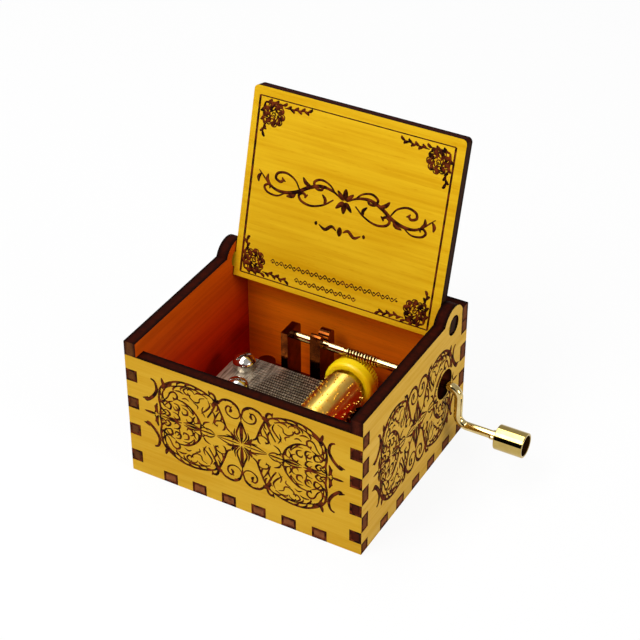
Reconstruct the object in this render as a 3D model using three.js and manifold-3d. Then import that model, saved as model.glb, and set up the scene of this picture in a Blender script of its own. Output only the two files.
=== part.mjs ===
// A hand-cranked music box: a finger-jointed case of laser-cut board with a turning lid, and inside it
// a pinned-cylinder movement that the bent-wire crank on the right drives through a worm.
// Millimetres. X runs to the right, Y to the back and Z up, with the origin at the centre of the underside.
import * as THREE from "three";
import { mergeVertices } from "three/addons/utils/BufferGeometryUtils.js";
import Module from "manifold-3d";

const wasm = await Module();
wasm.setup();

// Case: its board, its heights, and the room between its walls and the movement's bedplate
const sheet = 3.2;
const frontHeight = 35.3;
const sideRise = 3.9;
const roomLeft = 5.3;
const roomRight = 5.3;
const roomFront = 6.8;
const roomRear = 2.2;

// Finger joints
const cornerTab = 3.45;
const cornerPitch = 8.2;
const cornerFirst = 3.25;
const baseTab = 4;
const basePitch = 8.32;
const sideTabShift = 1.2;

// Lid and its hinge
const hingeInset = 7.9;
const hingeTab = 3.9;
const hingeGap = 0.128;
const lugRadius = 5.2;
const lidGap = 0.3;
const lidFrontInset = 0.2;
const lidCorner = 1.2;
const lidSwingGap = 0.25;
const lidOpenDegrees = 104.8;

// Cylinder and its bearings
const drumRise = 11.55;
const drumRadius = 5.3;
const drumWall = 0.8;
const drumFrontEdge = 0.78;
const drumToWheel = 1.29;
const arborRadius = 1;
const capThickness = 1.2;
const pinRadius = 0.17;
const pinHeight = 0.42;
const pinSink = 0.3;
// Each tooth's row of pins starts at its own share of a turn, and the steps from pin to pin are shares too
const rowStartShares = [
  0.02, 0.31, 0.57, 0.13, 0.74, 0.42, 0.88, 0.25, 0.63, 0.07, 0.49, 0.81, 0.18, 0.36, 0.69, 0.95, 0.53, 0.28,
];
const pinStepShares = [0.21, 0.37, 0.29, 0.17];

// Worm wheel and worm
const wheelTeeth = 46;
const wormPitch = 0.8;
const wormPitchRadius = 1.19;
const threadDepth = 0.39;
const threadRise = 0.23;
const threadCrestWidth = 0.16;
const threadRootWidth = 0.42;
const wormLead = 3.05;
const wormLength = 8.8;
const toothBehind = 1.4;
const rimGap = 0.19;
const rimRise = 0.5;
const rimWall = 1.65;
const wheelRimWidth = 2.75;
const wheelWeb = 2.2;
const wheelHub = 2.3;
const wheelRound = 0.9;
const toothRise = 0.293;
const toothDepth = 0.357;
const toothTipWidth = 0.2;
const toothRootWidth = 0.46;

// Comb
const combPitch = 0.99;
const combTeeth = 18;
const combSetback = 0.4;
const combThickness = 1.5;
const toothThickness = 0.6;
const combSlot = 0.24;
const combTipGap = 0.12;
const combTopRise = 0.65;
const combChamfer = 3.9;
const combLand = 1.5;
const combRearRoot = 24.85;
const combFrontRoot = 18.15;
const combScrewInset = 3;
const combUndercut = 1.4;
const weightTeeth = 7;
const weightDrop = 1.7;
const weightSetback = 2.6;
const weightLength = 3.4;

// Crank: bent wire and its knob
const shaftRadius = 1.1;
const journalRadius = 0.8;
const armGap = 4;
const armDrop = 10.45;
const bendRadius = 2.6;
const pinLength = 10.85;
const knobLength = 7.5;
const knobRadius = 3.2;
const knobRecess = 2.55;
const knobRecessDepth = 2.4;
const knobEdge = 0.3;
const wireEar = 0.55;
const wireEarLength = 1.7;
const wireHeadRadius = 1.75;
const wireHeadThickness = 0.7;
const crankHole = 4;

// Bedplate and posts
const bedRightEdge = 1.1;
const bedRearEdge = 1.7;
const bedFrontEdge = 0.15;
const bedThickness = 2.2;
const bedCorner = 2.5;
const bedWindowWidth = 8;
const bedWindowLength = 22;
const padInset = 0.6;
const padPocketRise = 3.4;
const padRib = 3;
const endPostToDrum = 19.2;
const endPostThickness = 1.9;
const endPostFront = 3.95;
const endPostRear = 2.85;
const endPostRise = 2.55;
const endPostRound = 1.5;
const forkToDrum = 11.4;
const forkThickness = 2.9;
const forkFrontWall = 1.7;
const forkRearWall = 3.3;
const forkFrontRise = 3.1;
const forkRearRise = 0.9;
const rearBearingGap = 1.2;
const bearingThickness = 1.8;
const bearingWall = 3.1;
const frontBearingGap = 1.1;
const footLength = 4.8;
const footThickness = 1.4;
const drumToBearing = 13.25;

// Screws
const combScrewHead = 2.95;
const combScrewDome = 3.4;
const combScrewRim = 1.3;
const combScrewShank = 1.2;
const combScrewSet = 2.9;
const slotWidth = 0.7;
const slotDepth = 0.75;
const smallHead = 1.9;
const smallDome = 1;
const smallShank = 0.8;
const mountHead = 2.5;
const mountShank = 1.15;
const mountHeadSink = 0.25;
const mountBoss = 2.4;
const mountBossRise = 2.4;
const combScrewYShares = [0.23, 0.76];
const combScrewTurns = [62, 18];
const smallScrewTurn = 35;
const mountScrewTurn = 40;

// Clearances
const runningGap = 0.15;
const seatGap = 0.2;
const overrun = 1;
const weld = 0.0004;

// Counts of facets
const roundSides = 36;
const drumSides = 42;
const fineSides = 20;
const smallSides = 10;
const wireSides = 14;
const pinSides = 3;
const bendSteps = 5;
const threadSteps = 10;

// Places worked out from the sizes above
const combLeft = combRearRoot + combChamfer + combLand;
const bedWidth = padInset + combLeft + drumToBearing + bearingThickness + bedRightEdge;
const rearBearing = rearBearingGap + bearingThickness + bedRearEdge;
const frontBearing = frontBearingGap + bearingThickness + footLength + bedFrontEdge;
const wormRoot = wormPitchRadius - threadDepth;
const wormCrest = wormPitchRadius + threadRise;
const wheelWidth = wheelRimWidth + rimGap + wormCrest + toothBehind;
const drumLength = combSetback + combTeeth * combPitch + drumFrontEdge;
const bedDepth = rearBearing + wheelWidth + drumToWheel + drumLength + frontBearing;
const innerHalfWidth = (bedWidth + roomLeft + roomRight) / 2;
const innerHalfDepth = (bedDepth + roomFront + roomRear) / 2;
const halfWidth = innerHalfWidth + sheet;
const halfDepth = innerHalfDepth + sheet;
const bedLeft = roomLeft - innerHalfWidth;
const bedRight = bedLeft + bedWidth;
const bedRear = innerHalfDepth - roomRear;
const bedFront = bedRear - bedDepth;
const sideHeight = frontHeight + sideRise;
const hingeY = halfDepth - hingeInset;
const hingeHeight = frontHeight + lidGap + sheet / 2;
const hingeBore = Math.hypot(hingeTab, sheet) / 2 + hingeGap;
const lidOpen = THREE.MathUtils.degToRad(lidOpenDegrees);
const floorTop = sheet;
const bedTop = floorTop + bedThickness;
const drumHeight = floorTop + drumRise;
const wheelPitchRadius = (wheelTeeth * wormPitch) / (2 * Math.PI);
const shaftHeight = drumHeight + wheelPitchRadius + wormPitchRadius;
const toothTip = wheelPitchRadius + toothRise;
const toothRoot = wheelPitchRadius - toothDepth;
const wheelRimRadius = toothTip + rimRise;
const wheelBore = wheelRimRadius - rimWall;
const wheelRear = bedRear - rearBearing;
const wheelFront = wheelRear - wheelWidth;
const shaftY = wheelRear - toothBehind;
const drumX = bedLeft + padInset + combLeft;
const drumRear = wheelFront - drumToWheel;
const drumFront = drumRear - drumLength;
const wormLeft = drumX - wormLead;
const rightBearingX = drumX + drumToBearing;
const armX = halfWidth + armGap;
const knobInnerX = armX + pinLength;
const endPostLeft = drumX - endPostToDrum;
const endPostRight = endPostLeft + endPostThickness;
const forkLeft = drumX - forkToDrum;
const pinTip = drumRadius + pinHeight;
const combTop = drumHeight + combTopRise;
const combBottom = combTop - combThickness;
const combTipX = drumX - pinTip - combTipGap;
const combRear = drumRear - combSetback;
const combFront = combRear - combTeeth * combPitch;

// Axis changes that keep a shape right-handed: a profile drawn in X and Y, extruded along Z
const basisX = new THREE.Vector3(1, 0, 0);
const basisY = new THREE.Vector3(0, 1, 0);
const basisZ = new THREE.Vector3(0, 0, 1);
const profileToYZ = new THREE.Matrix4().makeBasis(basisY, basisZ, basisX);
const profileToXZ = new THREE.Matrix4().makeBasis(basisX, basisZ, basisY.clone().negate());
const axisToY = new THREE.Matrix4().makeBasis(basisX, basisZ.clone().negate(), basisY);

// A manifold solid from a closed three.js geometry, without the empty triangles at a lathe's axis
function solid(geometry) {
  const loose = geometry.index ? geometry.toNonIndexed() : geometry.clone();
  const plain = new THREE.BufferGeometry();
  plain.setAttribute("position", loose.getAttribute("position"));
  const merged = mergeVertices(plain, weld);
  const corners = merged.index.array;
  const kept = [];
  for (let i = 0; i < corners.length; i += 3) {
    const [a, b, c] = [corners[i], corners[i + 1], corners[i + 2]];
    if (a !== b && b !== c && c !== a) kept.push(a, b, c);
  }
  const vertProperties = merged.attributes.position.array;
  const triVerts = new Uint32Array(kept);
  return new wasm.Manifold(new wasm.Mesh({ numProp: 3, vertProperties, triVerts }));
}

// A three.js geometry from a manifold solid
function geometryOf(manifold) {
  const mesh = manifold.getMesh();
  const geometry = new THREE.BufferGeometry();
  geometry.setAttribute("position", new THREE.BufferAttribute(mesh.vertProperties, 3));
  geometry.setIndex(new THREE.BufferAttribute(mesh.triVerts, 1));
  geometry.computeVertexNormals();
  return geometry;
}

function block(x0, x1, y0, y1, z0, z1) {
  const geometry = new THREE.BoxGeometry(x1 - x0, y1 - y0, z1 - z0);
  return solid(geometry.translate((x0 + x1) / 2, (y0 + y1) / 2, (z0 + z1) / 2));
}

// An outline in X and Y extruded from z0 to z1, then turned by a matrix if one is given
function prism(shape, z0, z1, matrix) {
  const geometry = new THREE.ExtrudeGeometry(shape, {
    depth: z1 - z0,
    bevelEnabled: false,
    curveSegments: smallSides / 2,
  });
  geometry.translate(0, 0, z0);
  if (matrix) geometry.applyMatrix4(matrix);
  return solid(geometry);
}

// A round bar along Z from z0 to z1, then turned by a matrix if one is given
function bar(radius, z0, z1, sides, matrix) {
  const geometry = new THREE.CylinderGeometry(radius, radius, z1 - z0, sides);
  geometry.rotateX(Math.PI / 2).translate(0, 0, (z0 + z1) / 2);
  if (matrix) geometry.applyMatrix4(matrix);
  return solid(geometry);
}

// A turned piece about Z from [radius, height] points that run up its outside, then down any bore
function turned(profile, sides, matrix) {
  const points = profile.map(([radius, height]) => new THREE.Vector2(radius, height));
  const geometry = new THREE.LatheGeometry(points, sides).rotateX(Math.PI / 2);
  if (matrix) geometry.applyMatrix4(matrix);
  return solid(geometry);
}

function outline(points) {
  return new THREE.Shape(points.map(([x, y]) => new THREE.Vector2(x, y)));
}

function roundedRectangle(x0, x1, y0, y1, radius) {
  const shape = new THREE.Shape();
  shape.moveTo(x0 + radius, y0);
  shape.lineTo(x1 - radius, y0);
  shape.absarc(x1 - radius, y0 + radius, radius, -Math.PI / 2, 0, false);
  shape.lineTo(x1, y1 - radius);
  shape.absarc(x1 - radius, y1 - radius, radius, 0, Math.PI / 2, false);
  shape.lineTo(x0 + radius, y1);
  shape.absarc(x0 + radius, y1 - radius, radius, Math.PI / 2, Math.PI, false);
  shape.lineTo(x0, y0 + radius);
  shape.absarc(x0 + radius, y0 + radius, radius, Math.PI, 1.5 * Math.PI, false);
  return shape;
}

const root = new THREE.Group();
const caseGroup = new THREE.Group();
const movementGroup = new THREE.Group();
const drumGroup = new THREE.Group();
const crankGroup = new THREE.Group();
const lidGroup = new THREE.Group();
root.add(caseGroup, movementGroup, lidGroup);
movementGroup.add(drumGroup, crankGroup);

function addPiece(group, name, manifold, colour, roughness, metalness) {
  const material = new THREE.MeshStandardMaterial({ color: colour, roughness, metalness });
  const mesh = new THREE.Mesh(geometryOf(manifold), material);
  mesh.name = name;
  group.add(mesh);
  return mesh;
}

const woodColour = 0xd9a520;
const goldColour = 0xd8a83a;
const steelColour = 0x8d8b84;
const nickelColour = 0xd8d6cf;
const zincColour = 0xb9b6ad;
const brassColour = 0xe0b040;
const capColour = 0xc8963a;
const acetalColour = 0xe8c818;
const wireColour = 0xe3cf8a;
const knobColour = 0xc9a544;

// Heights over which the side panels own the vertical corners; the front and back panels own the rest
function sideTabs() {
  const tabs = [];
  for (let z = cornerFirst; z + cornerTab < frontHeight - cornerTab / 2; z += cornerPitch) {
    tabs.push([z, z + cornerTab]);
  }
  return tabs;
}

// The spans between tabs, from 0 to height
function between(tabs, height) {
  const edges = [0, ...tabs.flat(), height];
  const spans = [];
  for (let i = 0; i < edges.length; i += 2) spans.push([edges[i], edges[i + 1]]);
  return spans;
}

// Places of the base panel's tabs along a wall whose inside is innerLength long, shifted off its middle
function baseTabs(innerLength, shift) {
  const count = Math.floor((innerLength - baseTab) / basePitch);
  const tabs = [];
  for (let i = 0; i < count; i += 1) {
    const centre = shift + (i - (count - 1) / 2) * basePitch;
    tabs.push([centre - baseTab / 2, centre + baseTab / 2]);
  }
  return tabs;
}

const cornerTabs = sideTabs();
const frontBaseTabs = baseTabs(2 * innerHalfWidth, 0);
const sideBaseTabs = baseTabs(2 * innerHalfDepth, sideTabShift);

// Front or back wall: yOut is its outer face and yIn its inner one
function endWall(yOut, yIn, height) {
  const [y0, y1] = [Math.min(yOut, yIn), Math.max(yOut, yIn)];
  let wall = block(-halfWidth, halfWidth, y0, y1, 0, height);
  for (const [z0, z1] of cornerTabs) {
    for (const side of [-1, 1]) {
      const [x0, x1] = [side * innerHalfWidth, side * (halfWidth + overrun)].sort((a, b) => a - b);
      wall = wall.subtract(block(x0, x1, y0 - overrun, y1 + overrun, z0, z1));
    }
  }
  for (const [x0, x1] of frontBaseTabs) {
    wall = wall.subtract(block(x0, x1, y0 - overrun, y1 + overrun, -overrun, floorTop));
  }
  return wall;
}

// Outline of a side wall in Y and Z, with the round lug that the lid turns in
function sideOutline() {
  const spread = Math.sqrt(lugRadius ** 2 - (sideHeight - hingeHeight) ** 2);
  const start = Math.atan2(sideHeight - hingeHeight, spread);
  const shape = new THREE.Shape();
  shape.moveTo(-halfDepth, 0);
  shape.lineTo(halfDepth, 0);
  shape.lineTo(halfDepth, sideHeight);
  shape.lineTo(hingeY + spread, sideHeight);
  shape.absarc(hingeY, hingeHeight, lugRadius, start, Math.PI - start, false);
  shape.lineTo(-halfDepth, sideHeight);
  return shape;
}

// Left or right wall: side is -1 or 1
function sideWall(side) {
  const [x0, x1] = [side * innerHalfWidth, side * halfWidth].sort((a, b) => a - b);
  let wall = prism(sideOutline(), x0, x1, profileToYZ);
  for (const [z0, z1] of between(cornerTabs, frontHeight)) {
    const low = z0 === 0 ? -overrun : z0;
    wall = wall.subtract(
      block(x0 - overrun, x1 + overrun, -halfDepth - overrun, -innerHalfDepth, low, z1),
    );
  }
  for (const [z0, z1] of between(cornerTabs, sideHeight + overrun)) {
    const low = z0 === 0 ? -overrun : z0;
    wall = wall.subtract(
      block(x0 - overrun, x1 + overrun, innerHalfDepth, halfDepth + overrun, low, z1),
    );
  }
  for (const [y0, y1] of sideBaseTabs) {
    wall = wall.subtract(block(x0 - overrun, x1 + overrun, y0, y1, -overrun, floorTop));
  }
  const bore = bar(hingeBore, x0 - overrun, x1 + overrun, roundSides, profileToYZ);
  return wall.subtract(bore.translate([0, hingeY, hingeHeight]));
}

function basePanel() {
  let panel = block(
    -innerHalfWidth, innerHalfWidth, -innerHalfDepth, innerHalfDepth, 0, floorTop,
  );
  for (const [x0, x1] of frontBaseTabs) {
    panel = panel.add(block(x0, x1, -halfDepth, halfDepth, 0, floorTop));
  }
  for (const [y0, y1] of sideBaseTabs) {
    panel = panel.add(block(-halfWidth, halfWidth, y0, y1, 0, floorTop));
  }
  return panel;
}

// The three screws from below that hold the movement: a name and a place in X and Y
const mountInset = mountBoss + padInset;
const mountPlaces = [
  ["left_rear", bedLeft + mountInset, bedRear - mountInset],
  ["right_rear", rightBearingX - footLength - seatGap - mountBoss, bedRear - mountInset],
  ["right_front", bedRight - mountInset, bedFront + mountInset],
];

function buildCase() {
  const front = endWall(-halfDepth, -innerHalfDepth, frontHeight);
  const back = endWall(halfDepth, innerHalfDepth, sideHeight);
  addPiece(caseGroup, "front_panel", front, woodColour, 0.6, 0);
  addPiece(caseGroup, "back_panel", back, woodColour, 0.6, 0);
  addPiece(caseGroup, "left_panel", sideWall(-1), woodColour, 0.6, 0);
  const opening = bar(crankHole, innerHalfWidth - overrun, halfWidth + overrun, roundSides, profileToYZ);
  const right = sideWall(1).subtract(opening.translate([0, shaftY, shaftHeight]));
  addPiece(caseGroup, "right_panel", right, woodColour, 0.6, 0);
  let base = basePanel();
  for (const [, x, y] of mountPlaces) {
    const bore = bar(mountShank + runningGap, -overrun, floorTop + overrun, smallSides);
    const sinkTop = mountHeadSink + mountHead - mountShank + runningGap;
    const sink = turned(
      [
        [0, -overrun],
        [mountHead + runningGap, -overrun],
        [mountHead + runningGap, mountHeadSink + runningGap],
        [mountShank + runningGap, sinkTop + runningGap],
        [0, sinkTop + runningGap],
      ],
      fineSides,
    );
    base = base.subtract(bore.add(sink).translate([x, y, 0]));
  }
  addPiece(caseGroup, "base_panel", base, woodColour, 0.6, 0);
}

// The lid is modelled closed, about its hinge axis, and its group turns it open
function buildLid() {
  const swing = hingeInset - sheet - lidSwingGap;
  const tail = Math.sqrt(swing ** 2 - (sheet / 2) ** 2);
  const reach = hingeY + halfDepth - lidFrontInset;
  const side = innerHalfWidth - lidGap;
  const corner = lidCorner;
  const face = new THREE.Shape();
  face.moveTo(-side + corner, -reach);
  face.lineTo(side - corner, -reach);
  face.absarc(side - corner, -reach + corner, corner, -Math.PI / 2, 0, false);
  face.lineTo(side, -hingeTab / 2);
  face.lineTo(halfWidth - seatGap, -hingeTab / 2);
  face.lineTo(halfWidth - seatGap, hingeTab / 2);
  face.lineTo(side, hingeTab / 2);
  face.lineTo(side, tail);
  face.lineTo(-side, tail);
  face.lineTo(-side, hingeTab / 2);
  face.lineTo(-halfWidth + seatGap, hingeTab / 2);
  face.lineTo(-halfWidth + seatGap, -hingeTab / 2);
  face.lineTo(-side, -hingeTab / 2);
  face.lineTo(-side, -reach + corner);
  face.absarc(-side + corner, -reach + corner, corner, Math.PI, 1.5 * Math.PI, false);
  addPiece(lidGroup, "lid", prism(face, -sheet / 2, sheet / 2), woodColour, 0.6, 0);
  lidGroup.position.set(0, hingeY, hingeHeight);
  lidGroup.rotation.x = -lidOpen;
}

// X of the line where the comb's slots start, at a place along Y
function combRootX(y) {
  const share = (combRear - y) / (combRear - combFront);
  return drumX - combRearRoot + share * (combRearRoot - combFrontRoot);
}

// The comb's solid root in X and Y, drawn in by inset
function combRootOutline(inset, setback) {
  const left = drumX - combLeft + inset;
  return outline([
    [left, combFront + inset],
    [combRootX(combFront) - setback, combFront + inset],
    [combRootX(combRear) - setback, combRear - inset],
    [left + combChamfer, combRear - inset],
    [left, combRear - combChamfer - inset],
  ]);
}

// Places of the two comb screws, in line along the start of the slots
const combScrewPlaces = combScrewYShares.map((share) => {
  const y = combRear - share * (combRear - combFront);
  return [combRootX(y) - combScrewInset, y];
});

function buildComb() {
  const left = drumX - combLeft;
  const plate = outline([
    [left, combFront],
    [combTipX, combFront],
    [combTipX, combRear],
    [left + combChamfer, combRear],
    [left, combRear - combChamfer],
  ]);
  let comb = prism(plate, combBottom, combTop);
  const toothBottom = combTop - toothThickness;
  const under = outline([
    [combRootX(combFront - overrun) + combUndercut, combFront - overrun],
    [combTipX + overrun, combFront - overrun],
    [combTipX + overrun, combRear + overrun],
    [combRootX(combRear + overrun) + combUndercut, combRear + overrun],
  ]);
  comb = comb.subtract(prism(under, combBottom - overrun, toothBottom));
  for (let i = 1; i < combTeeth; i += 1) {
    const y = combRear - i * combPitch;
    const cut = block(
      combRootX(y), combTipX + overrun, y - combSlot / 2, y + combSlot / 2,
      combBottom - overrun, combTop + overrun,
    );
    comb = comb.subtract(cut);
  }
  for (let i = 0; i < weightTeeth; i += 1) {
    const y1 = combRear - i * combPitch - combSlot;
    const y0 = combRear - (i + 1) * combPitch + combSlot;
    const x1 = combTipX - weightSetback;
    const drop = weightDrop * (1 - i / (2 * weightTeeth));
    const length = weightLength * (1 - i / (2 * weightTeeth));
    comb = comb.add(block(x1 - length, x1, y0, y1, toothBottom - drop, toothBottom + toothThickness / 2));
  }
  for (const [x, y] of combScrewPlaces) {
    const bore = bar(combScrewShank + runningGap, combBottom - overrun, combTop + overrun, smallSides);
    comb = comb.subtract(bore.translate([x, y, 0]));
  }
  addPiece(movementGroup, "comb", comb, steelColour, 0.35, 1);
}

// A round-headed slotted screw, its head's seat at height 0 and its shank below
function domedScrew(headRadius, dome, rim, shank, length, turn) {
  const profile = [
    [0, -length],
    [shank, -length],
    [shank, 0],
    [headRadius, 0],
    [headRadius, rim],
  ];
  const steps = bendSteps;
  for (let i = 1; i < steps; i += 1) {
    const angle = (i / steps) * (Math.PI / 2);
    profile.push([headRadius * Math.cos(angle), rim + (dome - rim) * Math.sin(angle)]);
  }
  profile.push([0, dome]);
  const slot = block(
    -headRadius - overrun, headRadius + overrun, -slotWidth / 2, slotWidth / 2,
    dome - slotDepth, dome + overrun,
  );
  return turned(profile, fineSides).subtract(slot.rotate([0, 0, turn]));
}

function buildCombScrews() {
  const names = ["comb_screw_rear", "comb_screw_front"];
  names.forEach((name, i) => {
    const [x, y] = combScrewPlaces[i];
    const length = combThickness + combScrewSet;
    const screw = domedScrew(
      combScrewHead, combScrewDome, combScrewRim, combScrewShank, length, combScrewTurns[i],
    );
    addPiece(movementGroup, name, screw, nickelColour, 0.25, 1).position.set(x, y, combTop);
  });
}

// The comb's pad: a cast block under the comb's root, pocketed from the right
function combPad() {
  const pad = prism(combRootOutline(padInset, padInset), floorTop, combBottom);
  const pocketLeft = drumX - combLeft + padInset + padRib;
  const pocketRear = Math.max(...combScrewPlaces.map(([, y]) => y)) - combScrewHead;
  const pocket = block(
    pocketLeft, combRootX(combFront) + overrun, combFront + padInset + padRib, pocketRear,
    bedTop, combBottom - padPocketRise,
  );
  return pad.subtract(pocket);
}

// A flat post in Y and Z that stands on the floor of the case, its top level and rounded at the rear
function endPost() {
  const [front, rear, top] = [shaftY - endPostFront, shaftY + endPostRear, shaftHeight + endPostRise];
  const shape = new THREE.Shape();
  shape.moveTo(front, floorTop);
  shape.lineTo(rear, floorTop);
  shape.lineTo(rear, top - endPostRound);
  shape.absarc(rear - endPostRound, top - endPostRound, endPostRound, 0, Math.PI / 2, false);
  shape.lineTo(front, top);
  const post = prism(shape, endPostLeft, endPostRight, profileToYZ);
  const bore = bar(
    journalRadius + runningGap, endPostLeft - overrun, endPostRight + overrun, fineSides, profileToYZ,
  );
  return post.subtract(bore.translate([0, shaftY, shaftHeight]));
}

// The forked post: the shaft lies in its slot, between a narrow front prong and a broad rear one
function forkPost() {
  const slot = shaftRadius + runningGap;
  const front = shaftY - slot - forkFrontWall;
  const rear = shaftY + slot + forkRearWall;
  const frontRound = forkFrontWall / 2;
  const rearRound = forkRearWall / 2;
  const shape = new THREE.Shape();
  shape.moveTo(front, floorTop);
  shape.lineTo(rear, floorTop);
  shape.lineTo(rear, shaftHeight + forkRearRise);
  shape.absarc(rear - rearRound, shaftHeight + forkRearRise, rearRound, 0, Math.PI, false);
  shape.lineTo(shaftY + slot, shaftHeight);
  shape.absarc(shaftY, shaftHeight, slot, 0, Math.PI, true);
  shape.lineTo(shaftY - slot, shaftHeight + forkFrontRise);
  shape.absarc(front + frontRound, shaftHeight + forkFrontRise, frontRound, 0, Math.PI, false);
  return prism(shape, forkLeft, forkLeft + forkThickness, profileToYZ);
}

// A bearing plate in X and Z about the cylinder's axis, from the floor or from the top of the bedplate
function arborPlate(bottom, y0, y1) {
  const shape = new THREE.Shape();
  shape.moveTo(drumX - bearingWall, bottom);
  shape.lineTo(drumX + bearingWall, bottom);
  shape.lineTo(drumX + bearingWall, drumHeight);
  shape.absarc(drumX, drumHeight, bearingWall, 0, Math.PI, false);
  const plate = prism(shape, -y1, -y0, profileToXZ);
  const bore = bar(arborRadius + runningGap, y0 - overrun, y1 + overrun, fineSides, axisToY);
  return plate.subtract(bore.translate([drumX, 0, drumHeight]));
}

const rearBearingY = wheelRear + rearBearingGap;
const frontBearingY = drumFront - frontBearingGap - bearingThickness;
const frontFootY = frontBearingY - footLength / 2;
const rightFootX = rightBearingX - footLength / 2;
const smallScrewBottom = floorTop + bedThickness / 3;

function buildBedplate() {
  let bed = prism(
    roundedRectangle(bedLeft, bedRight, bedFront, bedRear, bedCorner), floorTop, bedTop,
  );
  const windowRear = wheelFront - overrun;
  const opening = roundedRectangle(
    drumX - bedWindowWidth / 2, drumX + bedWindowWidth / 2, windowRear - bedWindowLength + overrun,
    windowRear, bedCorner,
  );
  bed = bed.subtract(prism(opening, floorTop - overrun, bedTop + overrun));
  bed = bed.add(combPad()).add(endPost()).add(forkPost());
  bed = bed.add(arborPlate(floorTop, rearBearingY, rearBearingY + bearingThickness));
  for (const [, x, y] of mountPlaces) {
    bed = bed.add(bar(mountBoss, floorTop, bedTop + mountBossRise, fineSides).translate([x, y, 0]));
    const hole = bar(mountShank + runningGap, floorTop - overrun, bedTop + overrun, smallSides);
    bed = bed.subtract(hole.translate([x, y, 0]));
  }
  for (const [x, y] of combScrewPlaces) {
    const depth = combScrewSet + runningGap;
    const hole = bar(combScrewShank + runningGap, combBottom - depth, combBottom + overrun, smallSides);
    bed = bed.subtract(hole.translate([x, y, 0]));
  }
  for (const [x, y] of [[drumX, frontFootY], [rightFootX, shaftY]]) {
    const hole = bar(smallShank + runningGap, smallScrewBottom - seatGap, bedTop + overrun, smallSides);
    bed = bed.subtract(hole.translate([x, y, 0]));
  }
  addPiece(movementGroup, "bedplate", bed, goldColour, 0.25, 1);
}

function buildBearings() {
  let front = arborPlate(bedTop, frontBearingY, frontBearingY + bearingThickness);
  const frontFoot = block(
    drumX - bearingWall, drumX + bearingWall, frontBearingY - footLength,
    frontBearingY + bearingThickness, bedTop, bedTop + footThickness,
  );
  const screwHole = bar(
    smallShank + runningGap, bedTop - overrun, bedTop + footThickness + overrun, smallSides,
  );
  front = front.add(frontFoot).subtract(screwHole.translate([drumX, frontFootY, 0]));
  addPiece(movementGroup, "drum_front_bearing", front, goldColour, 0.3, 1);

  const shape = new THREE.Shape();
  shape.moveTo(shaftY - bearingWall, bedTop);
  shape.lineTo(shaftY + bearingWall, bedTop);
  shape.lineTo(shaftY + bearingWall, shaftHeight);
  shape.absarc(shaftY, shaftHeight, bearingWall, 0, Math.PI, false);
  let right = prism(shape, rightBearingX, rightBearingX + bearingThickness, profileToYZ);
  const bore = bar(
    shaftRadius + runningGap, rightBearingX - overrun, rightBearingX + bearingThickness + overrun,
    fineSides, profileToYZ,
  );
  right = right.subtract(bore.translate([0, shaftY, shaftHeight]));
  const rightFoot = block(
    rightBearingX - footLength, rightBearingX + bearingThickness, shaftY - bearingWall,
    shaftY + bearingWall, bedTop, bedTop + footThickness,
  );
  right = right.add(rightFoot).subtract(screwHole.translate([rightFootX, shaftY, 0]));
  addPiece(movementGroup, "crank_bearing", right, goldColour, 0.3, 1);

  const length = bedTop + footThickness - smallScrewBottom;
  const screw = domedScrew(smallHead, smallDome, smallDome / 3, smallShank, length, smallScrewTurn);
  const seat = bedTop + footThickness;
  addPiece(movementGroup, "drum_bearing_screw", screw, nickelColour, 0.3, 1)
    .position.set(drumX, frontFootY, seat);
  addPiece(movementGroup, "crank_bearing_screw", screw, nickelColour, 0.3, 1)
    .position.set(rightFootX, shaftY, seat);
}

// Countersunk screws that come up through the base panel into the bedplate
function buildMountScrews() {
  const shoulder = mountHeadSink + mountHead - mountShank;
  const profile = [
    [0, mountHeadSink],
    [mountHead, mountHeadSink],
    [mountShank, shoulder],
    [mountShank, bedTop - seatGap + overrun],
    [0, bedTop - seatGap + overrun],
  ];
  const slot = block(
    -mountHead - overrun, mountHead + overrun, -slotWidth / 2, slotWidth / 2, -overrun,
    mountHeadSink + slotDepth,
  );
  const screw = turned(profile, fineSides).subtract(slot.rotate([0, 0, mountScrewTurn]));
  for (const [place, x, y] of mountPlaces) {
    addPiece(movementGroup, "mount_screw_" + place, screw, zincColour, 0.4, 1).position.set(x, y, 0);
  }
}

// The cylinder with its pins: every tooth of the comb has its own row
function pinnedCylinder() {
  let shell = turned(
    [
      [drumRadius - drumWall, drumFront],
      [drumRadius, drumFront],
      [drumRadius, drumRear],
      [drumRadius - drumWall, drumRear],
      [drumRadius - drumWall, drumFront],
    ],
    drumSides,
    axisToY,
  );
  const pins = [];
  const cone = new THREE.CylinderGeometry(pinRadius / 2, pinRadius, pinHeight + pinSink, pinSides);
  cone.translate(0, drumRadius - pinSink + (pinHeight + pinSink) / 2, 0);
  for (let row = 0; row < combTeeth; row += 1) {
    const y = combRear - (row + 0.5) * combPitch;
    let share = rowStartShares[row % rowStartShares.length];
    for (let i = 0; i < pinStepShares.length; i += 1) {
      share += pinStepShares[(i + row) % pinStepShares.length];
      const pin = cone.clone();
      pin.rotateZ(share * 2 * Math.PI);
      pin.applyMatrix4(axisToY);
      pins.push(solid(pin.translate(0, y, 0)));
    }
  }
  for (const pin of pins) shell = shell.add(pin);
  return shell;
}

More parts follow.
